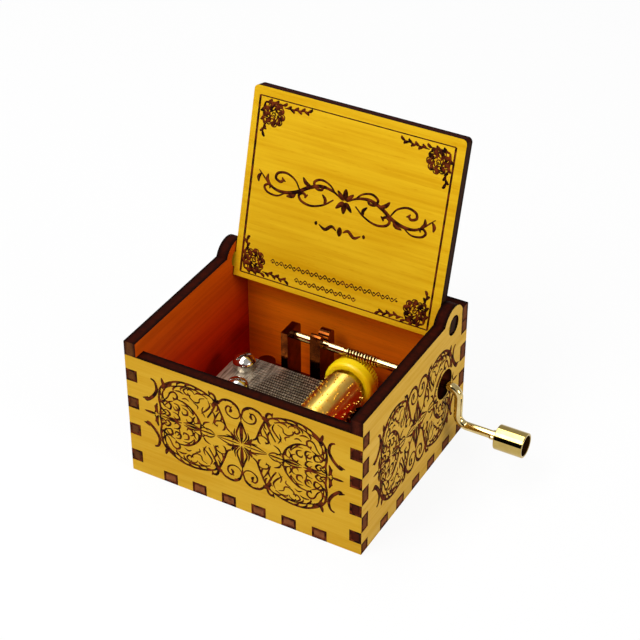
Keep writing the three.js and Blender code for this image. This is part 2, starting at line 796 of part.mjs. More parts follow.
// The moulded wheel: a cup with a rounded rim in front and slanted teeth behind
function wormWheel() {
  const rimRear = wheelFront + wheelRimWidth;
  const profile = [[wheelBore, wheelFront]];
  for (let i = 0; i <= bendSteps; i += 1) {
    const angle = (i / bendSteps) * (Math.PI / 2);
    profile.push([
      wheelRimRadius - wheelRound + wheelRound * Math.sin(angle),
      wheelFront + wheelRound - wheelRound * Math.cos(angle),
    ]);
  }
  profile.push([wheelRimRadius, rimRear], [wheelBore, rimRear], [wheelBore, wheelFront]);
  const rim = turned(profile, drumSides, axisToY);

  const points = [];
  for (let i = 0; i < wheelTeeth; i += 1) {
    const centre = ((i + 0.5) / wheelTeeth) * 2 * Math.PI - Math.PI / 2;
    const root = toothRootWidth / 2 / toothRoot;
    const tip = toothTipWidth / 2 / toothTip;
    const corners = [[-root, toothRoot], [-tip, toothTip], [tip, toothTip], [root, toothRoot]];
    for (const [angle, radius] of corners) {
      points.push([radius * Math.cos(centre + angle), radius * Math.sin(centre + angle)]);
    }
  }
  const geometry = new THREE.ExtrudeGeometry(outline(points), {
    depth: wheelRear - rimRear,
    bevelEnabled: false,
  });
  geometry.translate(0, 0, rimRear);
  const twist = wormPitch / (2 * Math.PI * wormPitchRadius) / wheelPitchRadius;
  const position = geometry.getAttribute("position");
  for (let i = 0; i < position.count; i += 1) {
    const turn = (position.getZ(i) - shaftY) * twist;
    const x = position.getX(i) * Math.cos(turn) - position.getY(i) * Math.sin(turn);
    const y = position.getX(i) * Math.sin(turn) + position.getY(i) * Math.cos(turn);
    position.setXY(i, x, y);
  }
  const teeth = solid(geometry.applyMatrix4(axisToY));
  const hollow = bar(wheelBore, wheelFront - overrun, wheelRear - wheelWeb, roundSides, axisToY);
  const hub = bar(wheelHub, wheelFront, wheelRear, fineSides, axisToY);
  const bore = bar(arborRadius + runningGap, wheelFront - overrun, wheelRear + overrun, fineSides, axisToY);
  return teeth.subtract(hollow).add(rim).add(hub).subtract(bore);
}

function buildDrum() {
  drumGroup.position.set(drumX, 0, drumHeight);
  addPiece(drumGroup, "drum_cylinder", pinnedCylinder(), brassColour, 0.2, 1);
  const capRadius = drumRadius - drumWall - seatGap / 2;
  const capBore = arborRadius + seatGap / 2;
  for (const [name, y] of [
    ["drum_front_cap", drumFront + seatGap],
    ["drum_rear_cap", drumRear - seatGap - capThickness],
  ]) {
    const cap = turned(
      [
        [capBore, y],
        [capRadius, y],
        [capRadius, y + capThickness],
        [capBore, y + capThickness],
        [capBore, y],
      ],
      roundSides,
      axisToY,
    );
    addPiece(drumGroup, name, cap, capColour, 0.3, 1);
  }
  addPiece(drumGroup, "worm_wheel", wormWheel(), acetalColour, 0.45, 0);
  const arborRear = rearBearingY + bearingThickness + seatGap;
  const arbor = bar(arborRadius, frontBearingY - seatGap, arborRear, fineSides, axisToY);
  addPiece(drumGroup, "drum_arbor", arbor, zincColour, 0.3, 1);
}

// A wire's centre line through given stations, which an extrusion samples one by one
class WireRoute extends THREE.Curve {
  constructor(stations) {
    super();
    this.stations = stations;
  }
  getPointAt(share, target = new THREE.Vector3()) {
    const place = share * (this.stations.length - 1);
    const index = Math.min(Math.floor(place + weld), this.stations.length - 2);
    return target.lerpVectors(this.stations[index], this.stations[index + 1], place - index);
  }
  getPoint(share, target) {
    return this.getPointAt(share, target);
  }
  getTangentAt(share, target = new THREE.Vector3()) {
    const last = this.stations.length - 1;
    const index = Math.round(share * last);
    const before = this.stations[Math.max(index - 1, 0)];
    const after = this.stations[Math.min(index + 1, last)];
    const here = this.stations[index];
    if (index > 0) target.add(here.clone().sub(before).normalize());
    if (index < last) target.add(after.clone().sub(here).normalize());
    return target.normalize();
  }
}

// Stations of the crank's wire in X and Z, from its journal's shoulder to the head in the knob
function crankStations(startX, endX) {
  const stations = [new THREE.Vector3(startX, 0, 0)];
  for (let i = 0; i <= bendSteps; i += 1) {
    const angle = (i / bendSteps) * (Math.PI / 2);
    stations.push(new THREE.Vector3(
      armX - bendRadius + bendRadius * Math.sin(angle), 0, bendRadius * Math.cos(angle) - bendRadius,
    ));
  }
  for (let i = 0; i <= bendSteps; i += 1) {
    const angle = (i / bendSteps) * (Math.PI / 2);
    stations.push(new THREE.Vector3(
      armX + bendRadius - bendRadius * Math.cos(angle), 0,
      bendRadius - armDrop - bendRadius * Math.sin(angle),
    ));
  }
  stations.push(new THREE.Vector3(endX, 0, -armDrop));
  return stations;
}

// The worm's thread: a trapezoid on a helix round the shaft, its crest in the wheel's gap at the bottom
function wormThread() {
  const turns = Math.floor(wormLength / wormPitch);
  const start = drumX - Math.floor((drumX - wormLeft) / wormPitch) * wormPitch;
  const steps = turns * threadSteps;
  const inner = wormRoot - runningGap / 2;
  const corners = [
    [-threadRootWidth / 2, inner],
    [-threadCrestWidth / 2, wormCrest],
    [threadCrestWidth / 2, wormCrest],
    [threadRootWidth / 2, inner],
  ];
  const vertices = [];
  const index = [];
  for (let i = 0; i <= steps; i += 1) {
    const angle = (i / threadSteps) * 2 * Math.PI - Math.PI / 2;
    const along = start + (i / threadSteps) * wormPitch;
    for (const [side, radius] of corners) {
      vertices.push(along + side, radius * Math.cos(angle), radius * Math.sin(angle));
    }
  }
  for (let i = 0; i < steps; i += 1) {
    for (let j = 0; j < 4; j += 1) {
      const [a, b] = [4 * i + j, 4 * i + ((j + 1) % 4)];
      const [c, d] = [a + 4, b + 4];
      index.push(a, c, b, b, c, d);
    }
  }
  const last = 4 * steps;
  index.push(0, 1, 2, 0, 2, 3, last, last + 2, last + 1, last, last + 3, last + 2);
  const geometry = new THREE.BufferGeometry();
  geometry.setAttribute("position", new THREE.Float32BufferAttribute(vertices, 3));
  geometry.setIndex(index);
  return solid(geometry);
}

// Two flats pinched out of the wire, which stop what turns on it
function wireEars(x0, x1, z) {
  const half = shaftRadius + wireEar;
  const middle = (x0 + x1) / 2;
  const shape = outline([
    [x0, -shaftRadius / 2],
    [middle, -half],
    [x1, -shaftRadius / 2],
    [x1, shaftRadius / 2],
    [middle, half],
    [x0, shaftRadius / 2],
  ]);
  return prism(shape, z - shaftRadius / 2, z + shaftRadius / 2);
}

function buildCrank() {
  crankGroup.position.set(0, shaftY, shaftHeight);
  const shoulder = endPostRight + seatGap;
  const headFace = knobInnerX + knobLength - knobRecessDepth + seatGap;
  const stations = crankStations(shoulder, headFace + wireHeadThickness / 2);
  const section = new THREE.Shape().absarc(0, 0, shaftRadius, 0, 2 * Math.PI, false);
  let wire = solid(new THREE.ExtrudeGeometry(section, {
    steps: stations.length - 1,
    extrudePath: new WireRoute(stations),
    curveSegments: wireSides / 2,
  }));
  const sleeve = turned(
    [
      [wormRoot, wormLeft],
      [wormCrest + overrun, wormLeft],
      [wormCrest + overrun, wormLeft + wormLength],
      [wormRoot, wormLeft + wormLength],
      [wormRoot, wormLeft],
    ],
    fineSides,
    profileToYZ,
  );
  wire = wire.subtract(sleeve).add(wormThread());
  const journal = bar(journalRadius, endPostLeft - seatGap, shoulder + overrun, fineSides, profileToYZ);
  const head = bar(wireHeadRadius, headFace, headFace + wireHeadThickness, fineSides, profileToYZ);
  wire = wire.add(journal).add(head.translate([0, 0, -armDrop]));
  const knobStop = knobInnerX - seatGap;
  wire = wire.add(wireEars(knobStop - wireEarLength, knobStop, -armDrop));
  const bearingStop = rightBearingX + bearingThickness + seatGap;
  wire = wire.add(wireEars(bearingStop, bearingStop + wireEarLength, 0));
  addPiece(crankGroup, "crank_shaft", wire, wireColour, 0.2, 1);

  const bore = shaftRadius + runningGap;
  const knob = turned(
    [
      [bore, 0],
      [knobRadius - knobEdge, 0],
      [knobRadius, knobEdge],
      [knobRadius, knobLength - knobEdge],
      [knobRadius - knobEdge, knobLength],
      [knobRecess, knobLength],
      [knobRecess, knobLength - knobRecessDepth],
      [bore, knobLength - knobRecessDepth],
      [bore, 0],
    ],
    roundSides,
    profileToYZ,
  );
  addPiece(crankGroup, "crank_knob", knob, knobColour, 0.15, 1).position.set(knobInnerX, 0, -armDrop);
}

buildCase();
buildLid();
buildBedplate();
buildComb();
buildCombScrews();
buildBearings();
buildMountScrews();
buildDrum();
buildCrank();

export default root;
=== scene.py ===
# Looks of a hand-cranked music box: scorched board with engraved scrollwork, and a gold-plated movement
import math
import bpy
from mathutils import Matrix, Vector


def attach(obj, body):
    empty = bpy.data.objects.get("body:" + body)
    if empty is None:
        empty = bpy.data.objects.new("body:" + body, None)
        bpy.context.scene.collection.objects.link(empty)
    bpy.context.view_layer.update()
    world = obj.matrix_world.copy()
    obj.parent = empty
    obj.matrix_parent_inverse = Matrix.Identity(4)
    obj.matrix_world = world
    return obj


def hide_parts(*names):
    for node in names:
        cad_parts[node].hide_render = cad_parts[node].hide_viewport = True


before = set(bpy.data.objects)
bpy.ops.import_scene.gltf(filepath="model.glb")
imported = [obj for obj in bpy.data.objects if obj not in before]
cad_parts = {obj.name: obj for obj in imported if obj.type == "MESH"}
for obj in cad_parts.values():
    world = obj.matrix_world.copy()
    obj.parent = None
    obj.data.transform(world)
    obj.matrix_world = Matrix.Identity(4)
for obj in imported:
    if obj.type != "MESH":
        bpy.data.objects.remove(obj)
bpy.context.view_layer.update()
MM = 0.001

# Sizes of the object in millimetres
CASE_HALF_WIDTH = 32.0
CASE_HALF_DEPTH = 27.0
HINGE = Vector((0.0, 19.1, 37.2))
LID_OPEN = math.radians(104.8)
LID_REACH = 45.9
LID_HALF_THICKNESS = 1.6
LID_WINDOW = (57.0, 50.3)
DRUM = Vector((7.35, 0.0, 14.75))
DRUM_RADIUS, DRUM_BORE = 5.3, 4.5
DRUM_FRONT, DRUM_REAR = -9.15, 9.85
COMB_REAR, COMB_PITCH, COMB_TEETH = 9.45, 0.99, 18
PIN_RADIUS, PIN_TIP, PIN_SINK, PIN_POINT = 0.17, 5.68, 0.3, 0.7
PINS_A_ROW, PIN_STEPS, ROW_TURN = 10, (0.065, 0.14, 0.09, 0.15, 0.055), 0.618
DRUM_SHOULDER, SHOULDER_FRONT, SHOULDER_REAR = 0.3, 0.75, 0.6
SHAFT = Vector((0.0, 15.5, 21.7969))
WIRE, JOURNAL, WIRE_STEP = 1.1, 0.8, 0.02
WORM_START, WORM_END, WORM_CORE, WORM_CREST, WORM_PITCH = 4.3, 13.1, 0.8, 1.42, 0.8
WIRE_START, WIRE_SHOULDER, ARM_X, WIRE_END = -12.05, -9.75, 36.0, 52.5
ARM_DROP, BEND = 10.45, 2.6
WIRE_HEAD, WIRE_HEAD_FACE, WIRE_HEAD_END = 1.75, 52.15, 52.85
EAR_SPANS = ((22.6, 24.3, 0.0), (44.95, 46.65, -ARM_DROP))
FLAT_WIDTH, FLAT_THICKNESS, THREAD_RADIUS, THREAD_STEPS = 3.3, 1.1, 0.26, 24
WHEEL_FRONT, WHEEL_STEP, WHEEL_WEB, WHEEL_REAR = 11.14, 13.89, 14.7, 16.9
WHEEL_RIM, WHEEL_ROUND, WHEEL_BORE, WHEEL_HUB, WHEEL_HOLE = 6.65, 1.0, 5.0, 2.3, 1.05
WHEEL_ROOT, WHEEL_TIP, WHEEL_TEETH, WHEEL_TOOTH, WHEEL_LEAD = 5.6, 6.2, 46, (0.56, 0.34), 6.5
TOOTH_SINK = 0.2
KNOB_X, KNOB_LENGTH, KNOB_RADIUS = 46.85, 7.5, 3.2
KNOB_RECESS, KNOB_RECESS_DEPTH, KNOB_BORE = 2.55, 2.4, 1.25
COMB_TOP, SMALL_SCREW_SEAT, SCREW_SLOT = 15.4, 6.8, 0.7
COMB_SCREWS = (("comb_screw_rear", -18.96, 5.35, 62), ("comb_screw_front", -15.41, -4.09, 18))
SMALL_SCREWS = (("drum_bearing_screw", 7.35, -14.45, 35), ("crank_bearing_screw", 18.2, 15.5, 35))
CRANK_HOLE = 4.0
BOARD, CORNER_TAB, BASE_TAB = 3.2, 3.45, 4.0
CORNER_TABS = (3.25, 11.45, 19.65, 27.85)
FRONT_BASE_TABS = (-20.8, -12.48, -4.16, 4.16, 12.48, 20.8)
SIDE_BASE_TABS = (-15.44, -7.12, 1.2, 9.52, 17.84)
FRONT_HEIGHT = 35.3

# Domed screws in mm: shank radius and length, head radius, its rim and top, slot's bottom and reach, rounding
COMB_SCREW = (1.2, 4.4, 2.95, 1.3, 3.4, 2.65, 3.0, 0.12)
SMALL_SCREW = (0.8, 2.86, 1.9, 0.33, 0.98, 0.25, 2.0, 0.05)

# Rounded edges in mm, and two boxes in mm round the fork's rear and front prong with how far to round there
BEDPLATE_EDGE, CAST_EDGE, CUT_EDGE, TURNED_EDGE = 0.16, 0.14, 0.08, 0.1
KNOB_EDGE, HEAD_EDGE, FLAT_EDGE = 0.22, 0.2, 0.5
REAR_PRONG = ((-4.3, 16.6, 22.2), (-0.9, 20.2, 24.6), 1.1)
FRONT_PRONG = ((-4.3, 12.4, 24.4), (-0.9, 14.4, 26.0), 0.6)

# Patterns in mm: bottom and top of the inner faces' painted shade, the comb's root line with its slant, and
# the step of its painted highlight dashes
SHADE_LOW, SHADE_HIGH = 8.0, 38.0
COMB_ROOT, COMB_SLANT, DASH_STEP = -12.5, -0.38, 0.62
# How far from the middle of a board its scorched edge starts to darken, and how far it is darkest
PLY_START, PLY_END = 0.45, 1.45
# Width of the burnt outlines, the engraving's distance from the crank's hole, and how flat its lines lie
SEAM, HOLE_MARGIN, FLATNESS = 0.6, 0.4, 0.07
# How squarely a surface looks along a board's depth to be one of its two faces, and up to be its rim
FACE_ON, RIM_UP = 0.7, 0.4


def linear(hex_colour):
    """An sRGB hex colour as the linear numbers that a shader takes."""
    parts = [int(hex_colour[i:i + 2], 16) / 255 for i in (1, 3, 5)]
    return [c / 12.92 if c <= 0.04045 else ((c + 0.055) / 1.055) ** 2.4 for c in parts] + [1.0]


def feed(node, inputs):
    """Gives a node its values and links by socket. A node given as a value stands for its first output."""
    for socket, value in inputs.items():
        if isinstance(value, bpy.types.Node):
            value = value.outputs[0]
        if isinstance(value, bpy.types.NodeSocket):
            node.id_data.links.new(value, node.inputs[socket])
        else:
            node.inputs[socket].default_value = value


def add(tree, kind, inputs=None, stops=(), **settings):
    """Adds a shader node with its settings, its values and links, and the stops of its colours."""
    node = tree.nodes.new("ShaderNode" + kind)
    for name, value in settings.items():
        setattr(node, name, value)
    feed(node, inputs or {})
    for i, (place, colour) in enumerate(stops):
        marks = node.color_ramp.elements
        mark = marks[i] if i < len(marks) else marks.new(place)
        mark.position = place
        mark.color = linear(colour)
    return node


def finish_of(name, **sockets):
    """A new material and its shader, with the plain values of the finish on the shader's own sockets."""
    material = bpy.data.materials.new(name)
    material.use_nodes = True
    shader = material.node_tree.nodes["Principled BSDF"]
    feed(shader, {socket.replace("_", " "): value for socket, value in sockets.items()})
    return material, material.node_tree, shader


def grain_scale(along, across, axis):
    """Frequencies in cycles a metre of a pattern long along one axis and fine across it, sizes in mm."""
    return [1 / (MM * (along if i == axis else across)) for i in range(3)]


def basswood(name, inward, middle, grain_axis, tones, ends, inner_shade=None, tilt=0.0):
    """Laser-cut basswood plywood: satin amber faces with long faint grain, and edges scorched nearly black.

    inward is the unit direction through the board to the inside of the box, middle the place of its
    half-thickness along that in mm, tones the light and deep tone of its faces, ends the light and deep
    tone of the fingers cut at its ends, and inner_shade the painted shade of its inner face from the floor
    of the box up to its rim, darker and redder towards the floor.
    """
    material, tree, shader = finish_of(name, Roughness=0.5, Specular_IOR_Level=0.04)
    place = add(tree, "TexCoord")
    here, normal = place.outputs["Object"], place.outputs["Normal"]
    laid = add(tree, "Mapping", {"Vector": here, "Rotation": (tilt, 0, 0)})
    # Growth lines: 1.1 mm apart and about 40 mm long, bent a little as in sliced veneer
    lines = add(tree, "Mapping", {"Vector": laid, "Scale": grain_scale(40, 1.1, grain_axis)})
    growth = add(tree, "TexNoise", {"Vector": lines, "Scale": 1.0, "Detail": 5.0, "Roughness": 0.6,
                                    "Distortion": 0.4})
    # Broad clouds in the veneer: 8 mm across and 30 mm long
    broad = add(tree, "Mapping", {"Vector": laid, "Scale": grain_scale(30, 8, grain_axis)})
    cloud = add(tree, "TexNoise", {"Vector": broad, "Scale": 1.0, "Detail": 2.0})
    # Pores: flecks 0.3 mm wide and 2.4 mm long, several times coarser than real ones so that they show
    pore_place = add(tree, "Mapping", {"Vector": laid, "Scale": grain_scale(2.4, 0.3, grain_axis)})
    pores = add(tree, "TexNoise", {"Vector": pore_place, "Scale": 1.0, "Detail": 2.0})
    tone = add(tree, "Mix", {0: 0.4, 2: growth, 3: cloud})
    fleck = add(tree, "MapRange", {"Value": pores, 1: 0.6, 2: 0.8, 4: 0.16})
    grain = add(tree, "Math", {0: tone, 1: fleck}, operation="SUBTRACT")
    flat = add(tree, "ValToRGB", {"Fac": grain}, stops=[(0.34, tones[1]), (0.6, tones[0])])
    facing = add(tree, "VectorMath", {0: normal, 1: inward}, operation="DOT_PRODUCT")
    # Inner faces: painted shade, a ramp by height that darkens and reddens them towards the floor of the box,
    # times the grain
    if inner_shade:
        height = add(tree, "SeparateXYZ", {0: here})
        rise = add(tree, "MapRange", {"Value": height.outputs["Z"], 1: SHADE_LOW * MM, 2: SHADE_HIGH * MM})
        shade_ramp = add(tree, "ValToRGB", {"Fac": rise},
                    stops=[(i / (len(inner_shade) - 1), shade) for i, shade in enumerate(inner_shade)])
        veneer = add(tree, "ValToRGB", {"Fac": grain}, stops=[(0.34, "#DED8D4"), (0.6, "#FFFFFF")])
        inner = add(tree, "Mix", {0: 1.0, 6: shade_ramp, 7: veneer}, data_type="RGBA", blend_type="MULTIPLY")
        is_inner = add(tree, "Math", {0: facing.outputs["Value"], 1: 0.0}, operation="GREATER_THAN")
        sided = add(tree, "Mix", {0: is_inner, 6: flat, 7: inner.outputs[2]}, data_type="RGBA")
        flat = sided.outputs[2]
    # Scorched edges: palest in the middle ply, with soot in patches about 1.3 mm wide
    along = add(tree, "VectorMath", {0: here, 1: inward}, operation="DOT_PRODUCT")
    off = add(tree, "Math", {0: along.outputs["Value"], 1: middle * MM}, operation="SUBTRACT")
    depth = add(tree, "Math", {0: off}, operation="ABSOLUTE")
    ply = add(tree, "MapRange", {"Value": depth, 1: PLY_START * MM, 2: PLY_END * MM, 3: 1.0, 4: 0.2})
    soot = add(tree, "TexNoise", {"Vector": here, "Scale": 1 / (1.3 * MM), "Detail": 5.0, "Roughness": 0.65})
    patch = add(tree, "Math", {0: ply, 1: soot}, operation="MULTIPLY")
    rim = add(tree, "ValToRGB", {"Fac": patch}, stops=[(0.14, "#0C0100"), (0.7, "#340B02")])
    finger = add(tree, "ValToRGB", {"Fac": patch}, stops=[(0.12, ends[1]), (0.5, ends[0])])
    lie = add(tree, "SeparateXYZ", {0: normal})
    is_rim = add(tree, "Math", {0: lie.outputs["Z"], 1: RIM_UP}, operation="GREATER_THAN")
    scorch = add(tree, "Mix", {0: is_rim, 6: finger, 7: rim}, data_type="RGBA")
    squareness = add(tree, "Math", {0: facing.outputs["Value"]}, operation="ABSOLUTE")
    is_face = add(tree, "Math", {0: squareness, 1: FACE_ON}, operation="GREATER_THAN")
    colour = add(tree, "Mix", {0: is_face, 6: scorch.outputs[2], 7: flat}, data_type="RGBA")
    satin = add(tree, "MapRange", {"Value": growth, 3: 0.58, 4: 0.44})
    char = add(tree, "MapRange", {"Value": soot, 3: 0.62, 4: 0.88})
    rough = add(tree, "Mix", {0: is_face, 2: char, 3: satin})
    bump = add(tree, "Bump", {"Height": grain, "Strength": 0.3, "Distance": 0.06 * MM})
    feed(shader, {"Base Color": colour.outputs[2], "Roughness": rough, "Normal": bump})
    return material


def engraving():
    """Engraved basswood: charred brown-black and matt. The beam's 0.1 mm rows are drawn 0.2 mm coarse."""
    material, tree, shader = finish_of("engraved_char", Roughness=0.85, Specular_IOR_Level=0.06)
    here = add(tree, "TexCoord").outputs["Object"]
    char = add(tree, "TexNoise", {"Vector": here, "Scale": 1 / (1.6 * MM), "Detail": 4.0})
    tone = add(tree, "ValToRGB", {"Fac": char}, stops=[(0.4, "#1A0401"), (0.64, "#6A2A0C")])
    rows = add(tree, "TexNoise", {"Vector": here, "Scale": 1 / (0.2 * MM)})
    bump = add(tree, "Bump", {"Height": rows, "Strength": 0.4, "Distance": 0.05 * MM})
    feed(shader, {"Base Color": tone, "Normal": bump})
    return material


def metal(name, light, deep, smooth, rough, cloud_size, relief=0.003, axis=None, painted_shade_bore=None):
    """A metal whose plating or polish varies a little, in clouds of a size in mm.

    relief is the height of its unevenness in mm, and axis the axis about which it was turned: the fine
    marks of the tool go round it, and so spread a highlight along it. painted_shade_bore is a place on the
    axis of a sleeve along X and a radius in mm, inside which painted shade makes the metal dark and rough.
    """
    material, tree, shader = finish_of(name, Metallic=1.0, Anisotropic=0.9 if axis else 0.0)
    if axis:
        spread = add(tree, "CombineXYZ", {"X": axis[0], "Y": axis[1], "Z": axis[2]})
        feed(shader, {"Tangent": spread})
    here = add(tree, "TexCoord").outputs["Object"]
    laid = add(tree, "Mapping", {"Vector": here, "Scale": [1 / (cloud_size * MM)] * 3})
    cloud = add(tree, "TexNoise", {"Vector": laid, "Scale": 1.0, "Detail": 5.0, "Roughness": 0.6})
    colour = add(tree, "ValToRGB", {"Fac": cloud}, stops=[(0.3, deep), (0.7, light)])
    roughness = add(tree, "MapRange", {"Value": cloud, 1: 0.3, 2: 0.7, 3: rough, 4: smooth})
    # Painted shade in a sleeve's recess: dark brown and rough inside the radius
    if painted_shade_bore:
        centre, radius = painted_shade_bore
        out = add(tree, "VectorMath", {0: here, 1: Vector(centre) * MM}, operation="SUBTRACT")
        flat = add(tree, "VectorMath", {0: out, 1: (0, 1, 1)}, operation="MULTIPLY")
        reach = add(tree, "VectorMath", {0: flat}, operation="LENGTH")
        inside = add(tree, "Math", {0: reach.outputs["Value"], 1: radius * MM}, operation="LESS_THAN")
        recess_shade = add(tree, "Mix", {0: inside, 6: colour, 7: linear("#3A2408")}, data_type="RGBA")
        colour = recess_shade.outputs[2]
        roughness = add(tree, "Mix", {0: inside, 2: roughness, 3: 0.5})
    bump = add(tree, "Bump", {"Height": cloud, "Strength": 1.0, "Distance": relief * MM})
    feed(shader, {"Base Color": colour, "Roughness": roughness, "Normal": bump})
    return material


def comb_steel():
    """Ground comb steel: grey-brown, with painted shade along the gaps between its teeth and painted
    highlight dashes on them.
    """
    material, tree, shader = finish_of("comb_steel_painted_shade_and_highlights", Metallic=1.0)
    here = add(tree, "TexCoord").outputs["Object"]
    parts = add(tree, "SeparateXYZ", {0: here})
    # Ground surface: streaks 5 mm long and 0.45 mm wide
    laid = add(tree, "Mapping", {"Vector": here, "Scale": grain_scale(5.0, 0.45, 1)})
    ground = add(tree, "TexNoise", {"Vector": laid, "Scale": 1.0, "Detail": 4.0})
    tone = add(tree, "ValToRGB", {"Fac": ground}, stops=[(0.3, "#5A5044"), (0.7, "#C6BAA4")])
    # Painted shade along the gap between two teeth: the share of a tooth's pitch from its middle, 0.5 in the
    # gap
    count = add(tree, "Math", {0: parts.outputs["Y"], 1: COMB_REAR * MM}, operation="SUBTRACT")
    teeth = add(tree, "Math", {0: count, 1: COMB_PITCH * MM}, operation="DIVIDE")
    phase = add(tree, "Math", {0: teeth}, operation="FRACT")
    middle = add(tree, "Math", {0: phase, 1: 0.5}, operation="SUBTRACT")
    from_middle = add(tree, "Math", {0: middle}, operation="ABSOLUTE")
    painted_gap_shade = add(tree, "MapRange", {"Value": from_middle, 1: 0.24, 2: 0.4})
    # Painted highlight dashes: darker marks 0.62 mm apart along a tooth, half a step further on every second
    # tooth
    tooth = add(tree, "Math", {0: teeth}, operation="FLOOR")
    half = add(tree, "Math", {0: tooth, 1: 0.5}, operation="MULTIPLY")
    steps = add(tree, "Math", {0: parts.outputs["X"], 1: DASH_STEP * MM}, operation="DIVIDE")
    wobble = add(tree, "Math", {0: steps, 1: ground}, operation="ADD")
    shifted = add(tree, "Math", {0: wobble, 1: half}, operation="ADD")
    mark_phase = add(tree, "Math", {0: shifted}, operation="FRACT")
    mark = add(tree, "MapRange", {"Value": mark_phase, 1: 0.45, 2: 0.62})
    # Both lie on the teeth alone, right of the comb's root line, which slants from rear to front
    slant = add(tree, "Math", {0: parts.outputs["Y"], 1: COMB_SLANT}, operation="MULTIPLY")
    root = add(tree, "Math", {0: parts.outputs["X"], 1: slant}, operation="ADD")
    on_teeth = add(tree, "MapRange", {"Value": root, 1: (COMB_ROOT - 1.0) * MM, 2: (COMB_ROOT + 1.0) * MM})
    lines = add(tree, "Math", {0: painted_gap_shade, 1: on_teeth}, operation="MULTIPLY")
    highlight_dashes = add(tree, "Math", {0: mark, 1: on_teeth}, operation="MULTIPLY")
    dashed_tone = add(tree, "Mix", {0: highlight_dashes, 6: tone, 7: linear("#584C40")}, data_type="RGBA")
    colour = add(tree, "Mix", {0: lines, 6: dashed_tone.outputs[2], 7: linear("#140E08")}, data_type="RGBA")
    polish = add(tree, "MapRange", {"Value": ground, 3: 0.55, 4: 0.35})
    bump = add(tree, "Bump", {"Height": ground, "Strength": 0.3, "Distance": 0.02 * MM})
    feed(shader, {"Base Color": colour.outputs[2], "Roughness": polish, "Normal": bump})
    return material


def acetal():
    """Moulded yellow acetal: an even, slightly waxy yellow with a soft sheen and faint flow marks."""
    material, tree, shader = finish_of("moulded_yellow_acetal", Roughness=0.35, IOR=1.48,
                                       Subsurface_Weight=0.15, Subsurface_Scale=1.0,
                                       Subsurface_Radius=(1.2 * MM, 0.9 * MM, 0.2 * MM))
    here = add(tree, "TexCoord").outputs["Object"]
    flow = add(tree, "TexNoise", {"Vector": here, "Scale": 1 / (2.5 * MM), "Detail": 3.0})
    tone = add(tree, "ValToRGB", {"Fac": flow}, stops=[(0.3, "#F8D006"), (0.7, "#FCDE0A")])
    sheen = add(tree, "MapRange", {"Value": flow, 3: 0.42, 4: 0.3})
    feed(shader, {"Base Color": tone, "Roughness": sheen})
    return material


# Materials. The walls' inner faces carry painted shade: a deep orange brown, darker and redder towards the
# floor.
AMBER = ("#CFA22B", "#C39018")
PALE_AMBER = ("#CAA03E", "#BC8E23")
LID_AMBER = ("#DAAD1A", "#CA9507")
# Painted shade of the inner faces from the floor up: darkest on the front, left and base walls, most lit on
# the back wall
INNER_PAINTED_SHADE = ("#DC1C02", "#B42A02", "#BF4D03")
BACK_INNER_PAINTED_SHADE = ("#F06606", "#FA7E0C", "#FA860E")
RIGHT_INNER_PAINTED_SHADE = ("#E02204", "#DC3004", "#D24C08")
CUT_ENDS = ("#66381A", "#2C0A02")
LEFT_ENDS = ("#5E3618", "#2C0E04")
RIGHT_ENDS = ("#421608", "#200400")
BASE_ENDS = ("#844C28", "#3C1002")
LID_ENDS = ("#2E180A", "#120300")
lid_in = Vector((0, -math.sin(LID_OPEN), -math.cos(LID_OPEN)))
broad_middle, side_middle = BOARD / 2 - CASE_HALF_DEPTH, BOARD / 2 - CASE_HALF_WIDTH
WOOD = {
    "front_panel": basswood("basswood_front", (0, 1, 0), broad_middle, 0, AMBER, CUT_ENDS, INNER_PAINTED_SHADE),
    "back_panel": basswood("basswood_back", (0, -1, 0), broad_middle, 0, AMBER, CUT_ENDS, BACK_INNER_PAINTED_SHADE),
    "left_panel": basswood("basswood_left", (1, 0, 0), side_middle, 1, PALE_AMBER, LEFT_ENDS, INNER_PAINTED_SHADE),
    "right_panel": basswood("basswood_right", (-1, 0, 0), side_middle, 1, PALE_AMBER, RIGHT_ENDS,
                            RIGHT_INNER_PAINTED_SHADE),
    "base_panel": basswood("basswood_base", (0, 0, 1), BOARD / 2, 0, AMBER, BASE_ENDS, INNER_PAINTED_SHADE),
    "lid": basswood("basswood_lid", lid_in, lid_in.dot(HINGE), 0, LID_AMBER, LID_ENDS, tilt=LID_OPEN),
}
CHAR = engraving()
# Castings: gold plating darkened to a red brown, a painted reflection of the box's dark red inner walls
PLATED_ZINC_PAINTED_REFLECTION = metal("plated_zinc_painted_reflection", "#8E4A18", "#56240C", 0.12, 0.22, 3.0, relief=0.01)
COMB_STEEL = comb_steel()
NICKEL = metal("nickel_plated_steel", "#E6E4DE", "#BDB9B0", 0.08, 0.18, 1.5, relief=0.001)
ZINC_SCREW = metal("zinc_plated_steel", "#C2BFB6", "#8E8B84", 0.3, 0.5, 1.0)
DRUM_BRASS = metal("turned_polished_brass", "#FFE680", "#F8C84E", 0.38, 0.46, 2.5, axis=(0, 1, 0))
CAP_BRASS = metal("turned_brass", "#C8963A", "#94682A", 0.22, 0.34, 0.8)
ARBOR_STEEL = metal("drawn_steel", "#C4C1BA", "#918E87", 0.25, 0.4, 0.6)
CRANK_GOLD = metal("pale_gold_plated_wire", "#DCC890", "#C4A868", 0.06, 0.12, 2.0, relief=0.001)
# The knob's recess is painted dark as shade
KNOB_GOLD = metal("gold_plated_brass", "#C2A862", "#B09650", 0.05, 0.09, 2.0, relief=0.001,
                  painted_shade_bore=((0.0, SHAFT.y, SHAFT.z - ARM_DROP), KNOB_RECESS + 0.1))
ACETAL = acetal()


def wear(piece, material):
    """Puts one material on every face of a piece or CAD node."""
    if not piece.material_slots:
        piece.data.materials.append(material)
    for slot in piece.material_slots:
        slot.material = material


